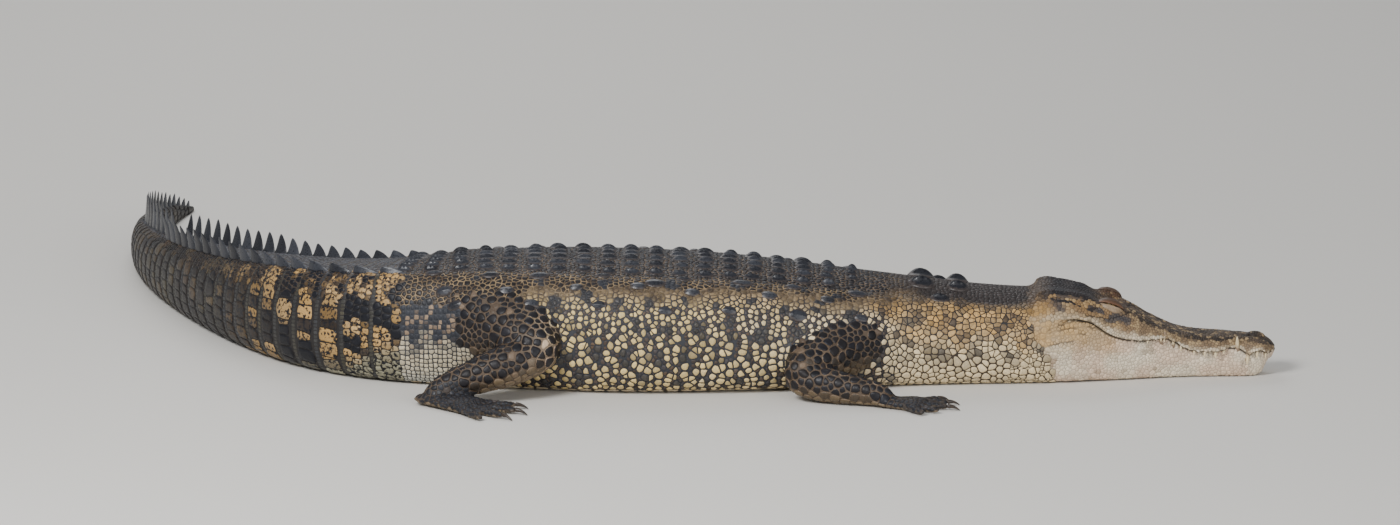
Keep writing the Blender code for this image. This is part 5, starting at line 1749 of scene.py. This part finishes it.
# Eyeballs: wet glass-like cornea over an olive-gold iris with an upright slit, which the lids all but hide.
PUPIL_BLACK = 0.002
HANDS = (("left", 1), ("right", -1))
eye_finish, tree, shader = new_material("wet_eye")
tint = node(tree, "ShaderNodeAttribute", {"attribute_name": "tint"})
feed(tree, shader, Base_Color=tint, Roughness=0.06, Coat_Weight=0.6)
for hand, sign in HANDS:
    centre, out, back, up = eye_axes(sign)
    tilt = np.linspace(0, np.pi, 33)[:, None, None]
    turn = np.radians(np.arange(0, 360, 7.5))[None, :, None]
    ball = np.cos(tilt) * out + np.sin(tilt) * (np.cos(turn) * back + np.sin(turn) * up)
    ball = centre + (EYE_RADIUS - 0.0002) * ball.reshape(-1, 3)
    eye = add_object(f"eyeball_{hand}", ball, tube_faces(33, 48))
    facing_out(eye)
    points, _ = read_mesh(eye.data)
    way = (points - centre) / EYE_RADIUS
    from_middle = np.degrees(np.arccos(np.clip(way @ out, -1, 1)))
    pupil = ramp(np.hypot(way @ back / 0.07, way @ up / 0.42), 1.1, 0.9)
    gold = mix(OCHRE * 0.5, OLIVE, cloud(points, 0.0012, 70))
    tone = mix(gold, DARK * 0.6, ramp(from_middle, 34, 40))
    tone = mix(tone, PUPIL_BLACK, pupil)
    store(eye.data, "tint", tone, 1.0)
    eye.data.materials.append(eye_finish)
    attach(eye, "root")
    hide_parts(f"eye_{hand}")

# Lids of wrinkled bare skin over each eye: dark brown above, pale below, with a fleshy rim along the slit.
lid_finish, tree, shader = new_material("bare_lid_skin")
where = node(tree, "ShaderNodeTexCoord").outputs["Object"]
tint = node(tree, "ShaderNodeAttribute", {"attribute_name": "tint"})
grain = node(tree, "ShaderNodeTexNoise", Vector=where, Scale=1 / 0.0016, Detail=3.0)
grain = node(tree, "ShaderNodeMapRange", _0=grain, _1=0.3, _2=0.7, _3=0.65, _4=1.3)
wrinkles = node(tree, "ShaderNodeTexNoise", Vector=where, Scale=1 / 0.0012, Detail=3.0)
grain = node(tree, "ShaderNodeMix", COLOUR_TIMES, _0=1.0, _6=tint, _7=grain)
feed(tree, shader, Base_Color=grain, Roughness=0.45,
     Normal=node(tree, "ShaderNodeBump", Strength=0.4, Distance=0.0006, Height=wrinkles))
SLIT_OPEN = 7.0  # half the opening between the lids at its middle, in degrees
for hand, sign in HANDS:
    centre, out, back, up = eye_axes(sign)
    for lid_name, way_up, reach in (("upper", 1, 96), ("lower", -1, 58)):
        columns, rows = 49, 22
        turn = np.radians(np.linspace(-84, 84, columns))[:, None]
        slit = np.radians((SLIT_OPEN if way_up > 0 else SLIT_OPEN * 0.6) * np.cos(turn) ** 0.8 + 0.3)
        share = np.linspace(0, 1, rows) ** 1.3
        lift = slit + share * (math.radians(reach) - slit)
        level_way = np.cos(turn) * out + LID_LENGTH * np.sin(turn) * back
        ray = np.cos(lift)[..., None] * level_way[:, None] + way_up * np.sin(lift)[..., None] * up
        pleats = 0.00035 * np.sin(np.degrees(lift) / 4.2 + 1.5 * np.sin(3 * turn)) * np.cos(turn)
        edge = 0.0007 * bell(share, 0.07)  # the rim of the slit stands proud
        size = LID_RADIUS + 0.0002 + pleats * ramp(share, 0.05, 0.25) + edge - 0.0022 * ramp(share, 0.8, 1.0)
        grid = centre + np.concatenate([ray[:, ::-1] * (LID_RADIUS - 0.0022), ray * size[..., None]], 1)
        faces = tube_faces(columns, 2 * rows)[:-2]
        for start in (rows - 1, rows - 1 + (columns - 1) * 2 * rows):  # the two corners of the eye
            faces += [[start - r, start - r - 1, start + r + 2, start + r + 1] for r in range(rows - 1)]
        lid = add_object(f"{lid_name}_lid_{hand}", grid.reshape(-1, 3), faces)
        facing_out(lid)
        points, _ = read_mesh(lid.data)
        level = np.abs((points - centre) @ up) / LID_RADIUS
        if way_up > 0:
            tone = mix(RUST * 0.6, SNOUT_BROWN * 0.7, cloud(points, 0.004, 71))
            tone = mix(RUST * 1.1, tone, ramp(level, 0.1, 0.5))
        else:
            warm = mix(TAN, PINK, 0.3)
            tone = mix(warm * 0.72, TAUPE, cloud(points, 0.006, 72))
            tone = mix(warm * 0.62, tone, ramp(level, 0.15, 0.7))
        # painted shade: both lids go dark where they close on the slit and towards the eye's corners
        tone = mix(tone, DARK * 0.5, ramp(level, 0.1, 0.05))
        store(lid.data, "tint", tone, 1.0)
        lid.data.materials.append(lid_finish)
        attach(lid, "root")

# Ear flaps: a slim muscular flap shut in its slot under the skull table's edge, its lower half painted dark
# as the slot's shadow.
EAR_START, EAR_END, EAR_RADIUS = 0.8, 0.93, 0.0038
for hand, sign in HANDS:
    share = np.linspace(EAR_START, EAR_END, 30)
    path = on_body(share * HEAD_LENGTH, sign * (head_size(RIM_WIDTH, share) + 0.006),
                   head_size(RIM_HEIGHT, share) - 0.0085)
    for k, (x, y, z) in enumerate(path):
        ground = skin_tree.ray_cast(Vector((x, sign * 0.5, z)), Vector((0, -sign, 0)))[0]
        path[k, 1] = ground[1] - sign * 0.0022
    t = np.linspace(0, 1, 30)
    radii = EAR_RADIUS * np.sqrt(np.clip(1 - (2 * t - 1) ** 6, 0.04, 1)) * (0.82 + 0.25 * t)
    points = limb_rings(path, radii, 0.9, 18).reshape(-1, 3)
    flap = add_object(f"ear_flap_{hand}", points, tube_faces(30, 18))
    facing_out(flap)
    points, _ = read_mesh(flap.data)
    # painted shade: the flap's lower half goes dark, standing for the shadow of the slot under it
    low = ramp(np.interp(points[:, 0], path[::-1, 0], path[::-1, 2]) - points[:, 2], -0.0004, 0.0022)
    store(flap.data, "tint", mix(mix(SOOT, BROWN, cloud(points, 0.006, 73)), DARK * 0.3, low), 1.0)
    flap.data.materials.append(lid_finish)
    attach(flap, "root")
    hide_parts(f"ear_flap_{hand}")

# Teeth: bowed cones of dentine and enamel, set in the gums, yellowed, and brown where they meet the gum.
# Place as a percentage of the head's length, the length that shows, and the radius.
UPPER_TEETH = [
    (4.0, 0.009, 0.0026), (7.6, 0.013, 0.0032), (11.6, 0.019, 0.004), (21.5, 0.007, 0.003),
    (25.0, 0.01, 0.0036), (29.5, 0.008, 0.0032), (34.0, 0.007, 0.003), (39.5, 0.007, 0.003),
    (46.5, 0.0045, 0.0026), (53.5, 0.0045, 0.0026),
]
LOWER_TEETH = [(15.9, 0.024, 0.0045), (42.8, 0.0055, 0.0028), (48.0, 0.0055, 0.003)]
TOOTH_ROOT, TOOTH_INSET = 0.011, 0.003
rings = []
for t in np.linspace(0, 1, 13).tolist():
    size = max(1 - t ** 2.2, 0.0) ** 0.62 + 0.02
    rings.append([(size * math.cos(turn), size * math.sin(turn) + 0.5 * t * t, t, t)
                  for turn in (2 * math.pi * k / 14 for k in range(14))])
tooth_shape = shape_of_rings("tooth", rings)
tooth_spots = []
for hand, sign in HANDS:
    LOWER_TEETH[0] = (15.9, 0.024 if sign < 0 else 0.014, 0.0045)  # the left one is worn short
    for teeth, width, way in ((UPPER_TEETH, LIP_WIDTH, -1), (LOWER_TEETH, JAW_WIDTH, 1)):
        for at, length, radius in teeth:
            share = at / 100
            out = float(head_size(width, share)) - TOOTH_INSET
            if length < 0.006:
                out = float(head_size(LIP_WIDTH, share)) - 0.0022
            gum = float(lip_height(share))
            foot = on_body(share * HEAD_LENGTH, sign * (out - 0.008), gum - way * TOOTH_ROOT)
            tip = on_body((share + 0.004) * HEAD_LENGTH, sign * (out + 0.0035), gum + way * length)
            size = (radius, radius * 0.9, float(np.linalg.norm(tip - foot)))
            tooth_spots.append({"at": foot, "out": tip - foot, "back": (-sign * way, 0, 0), "size": size,
                                "root": (0.9 + 0.01 * sign, 0.9), "crown": CREAM * 1.05, "rim": NET_TAN})
ivory, tree, shader = new_material("tooth_ivory")
where = node(tree, "ShaderNodeTexCoord").outputs["Object"]
dome, crown, rim = (node(tree, "ShaderNodeAttribute", {"attribute_name": key})
                    for key in ("dome", "crown", "rim"))
stain = node(tree, "ShaderNodeTexNoise", Vector=where, Scale=1 / 0.003, Detail=2.0)
stain = node(tree, "ShaderNodeMath", {"operation": "MULTIPLY_ADD"}, _0=stain, _1=0.25, _2=dome.outputs["Fac"])
stain = node(tree, "ShaderNodeMapRange", _0=stain, _1=0.45, _2=0.72)
stain = node(tree, "ShaderNodeMix", COLOUR_MIX, _0=stain, _6=rim, _7=crown)
feed(tree, shader, Base_Color=stain, Roughness=0.25)
set_plates("teeth", tooth_shape, ivory, tooth_spots)
bpy.data.objects.remove(tooth_shape)

# --------------------
# The claws: solid curved horn on the inner three toes of each foot, growing out of the toe's tip, streaked
# lengthways and polished dark by the ground.

CLAW_LENGTH, CLAW_RADIUS, CLAW_BOW, GAP = 0.021, 0.0044, 0.0021, 0.0004
claw_finish, tree, shader = new_material("claw_horn")
where = node(tree, "ShaderNodeTexCoord").outputs["Object"]
streaks = node(tree, "ShaderNodeTexNoise", Vector=where, Scale=1 / 0.002, Detail=3.0)
streaks = node(tree, "ShaderNodeMapRange", _0=streaks, _1=0.35, _2=0.7)
streaks = node(tree, "ShaderNodeMix", COLOUR_MIX, _0=streaks, _6=(*BLUE_BLACK * 0.9, 1), _7=(*BROWN * 0.7, 1))
feed(tree, shader, Base_Color=streaks, Roughness=0.32)
parts = []
for leg in legs:
    for _, tip, way in leg["toes"][:CLAWED_TOES]:
        root = tip + way * (GAP * 2) + np.array([0, 0, 0.0005])
        point = root + way * CLAW_LENGTH
        point[2] = 0.0012
        t = np.linspace(-0.16, 1, 18)[:, None]
        path = root + (point - root) * t + np.array([0, 0, 1.0]) * 4 * CLAW_BOW * np.clip(t, 0, 1) * (1 - t)
        t = t[:, 0]
        radii = CLAW_RADIUS * np.where(t < 0, 0.96, np.sqrt(np.clip(1 - t, 0, 1)) * (1 - 0.3 * t) + 0.04)
        parts.append((limb_rings(path, radii, 0.95, 14).reshape(-1, 3), tube_faces(18, 14)))
claws = add_object("claws", *joined(parts))
facing_out(claws)
claws.data.materials.append(claw_finish)
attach(claws, "root")
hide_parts(*[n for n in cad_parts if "claw" in n])

# --------------------
# The hide between the scales: leathery skin that shows in the grooves, in the nearest scale's rim colour made
# darker, dull, with painted shade in the folds and a painted shadow along the mouth's slit.

nearest = nearest_in(tree_of_spots(plan["at"], np.flatnonzero(plan["piece"] != "")), skin_points)
face = np.isin(plan["piece"][nearest], ("head", "jaw"))[:, None]
on_leg = np.char.endswith(plan["piece"][nearest], "legs")[:, None]
under = plan["rim"][nearest] * np.where(face, 0.9, np.where(on_leg, 0.45, 0.75))
# painted shade: the hide goes darker along the folds of the cheek and round the jaw's hinge
fold_shade_distance = from_folds(skin_points) + 0.02 * ~face[:, 0]
under = under * (0.4 + 0.6 * ramp(fold_shade_distance, 0.001, 0.003))[:, None]
share = head_share(skin_points)
# painted shadow: the hide goes very dark along the shut mouth's slit
mouth_shadow_distance = np.abs(skin_points[:, 2] - lip_height(share)) + np.where(face[:, 0] & (share < 0.88), 0.0, 1.0)
under = under * (0.22 + 0.78 * ramp(mouth_shadow_distance, 0.0012, 0.003))[:, None]
store(skin.data, "tint", under, 1.0)
hide, tree, shader = new_material("hide")
feed(tree, shader, Base_Color=node(tree, "ShaderNodeAttribute", {"attribute_name": "tint"}), Roughness=0.6)
skin.data.materials.append(hide)
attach(skin, "root")
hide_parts(*[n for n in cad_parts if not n.startswith(("eye", "ear")) and "claw" not in n])
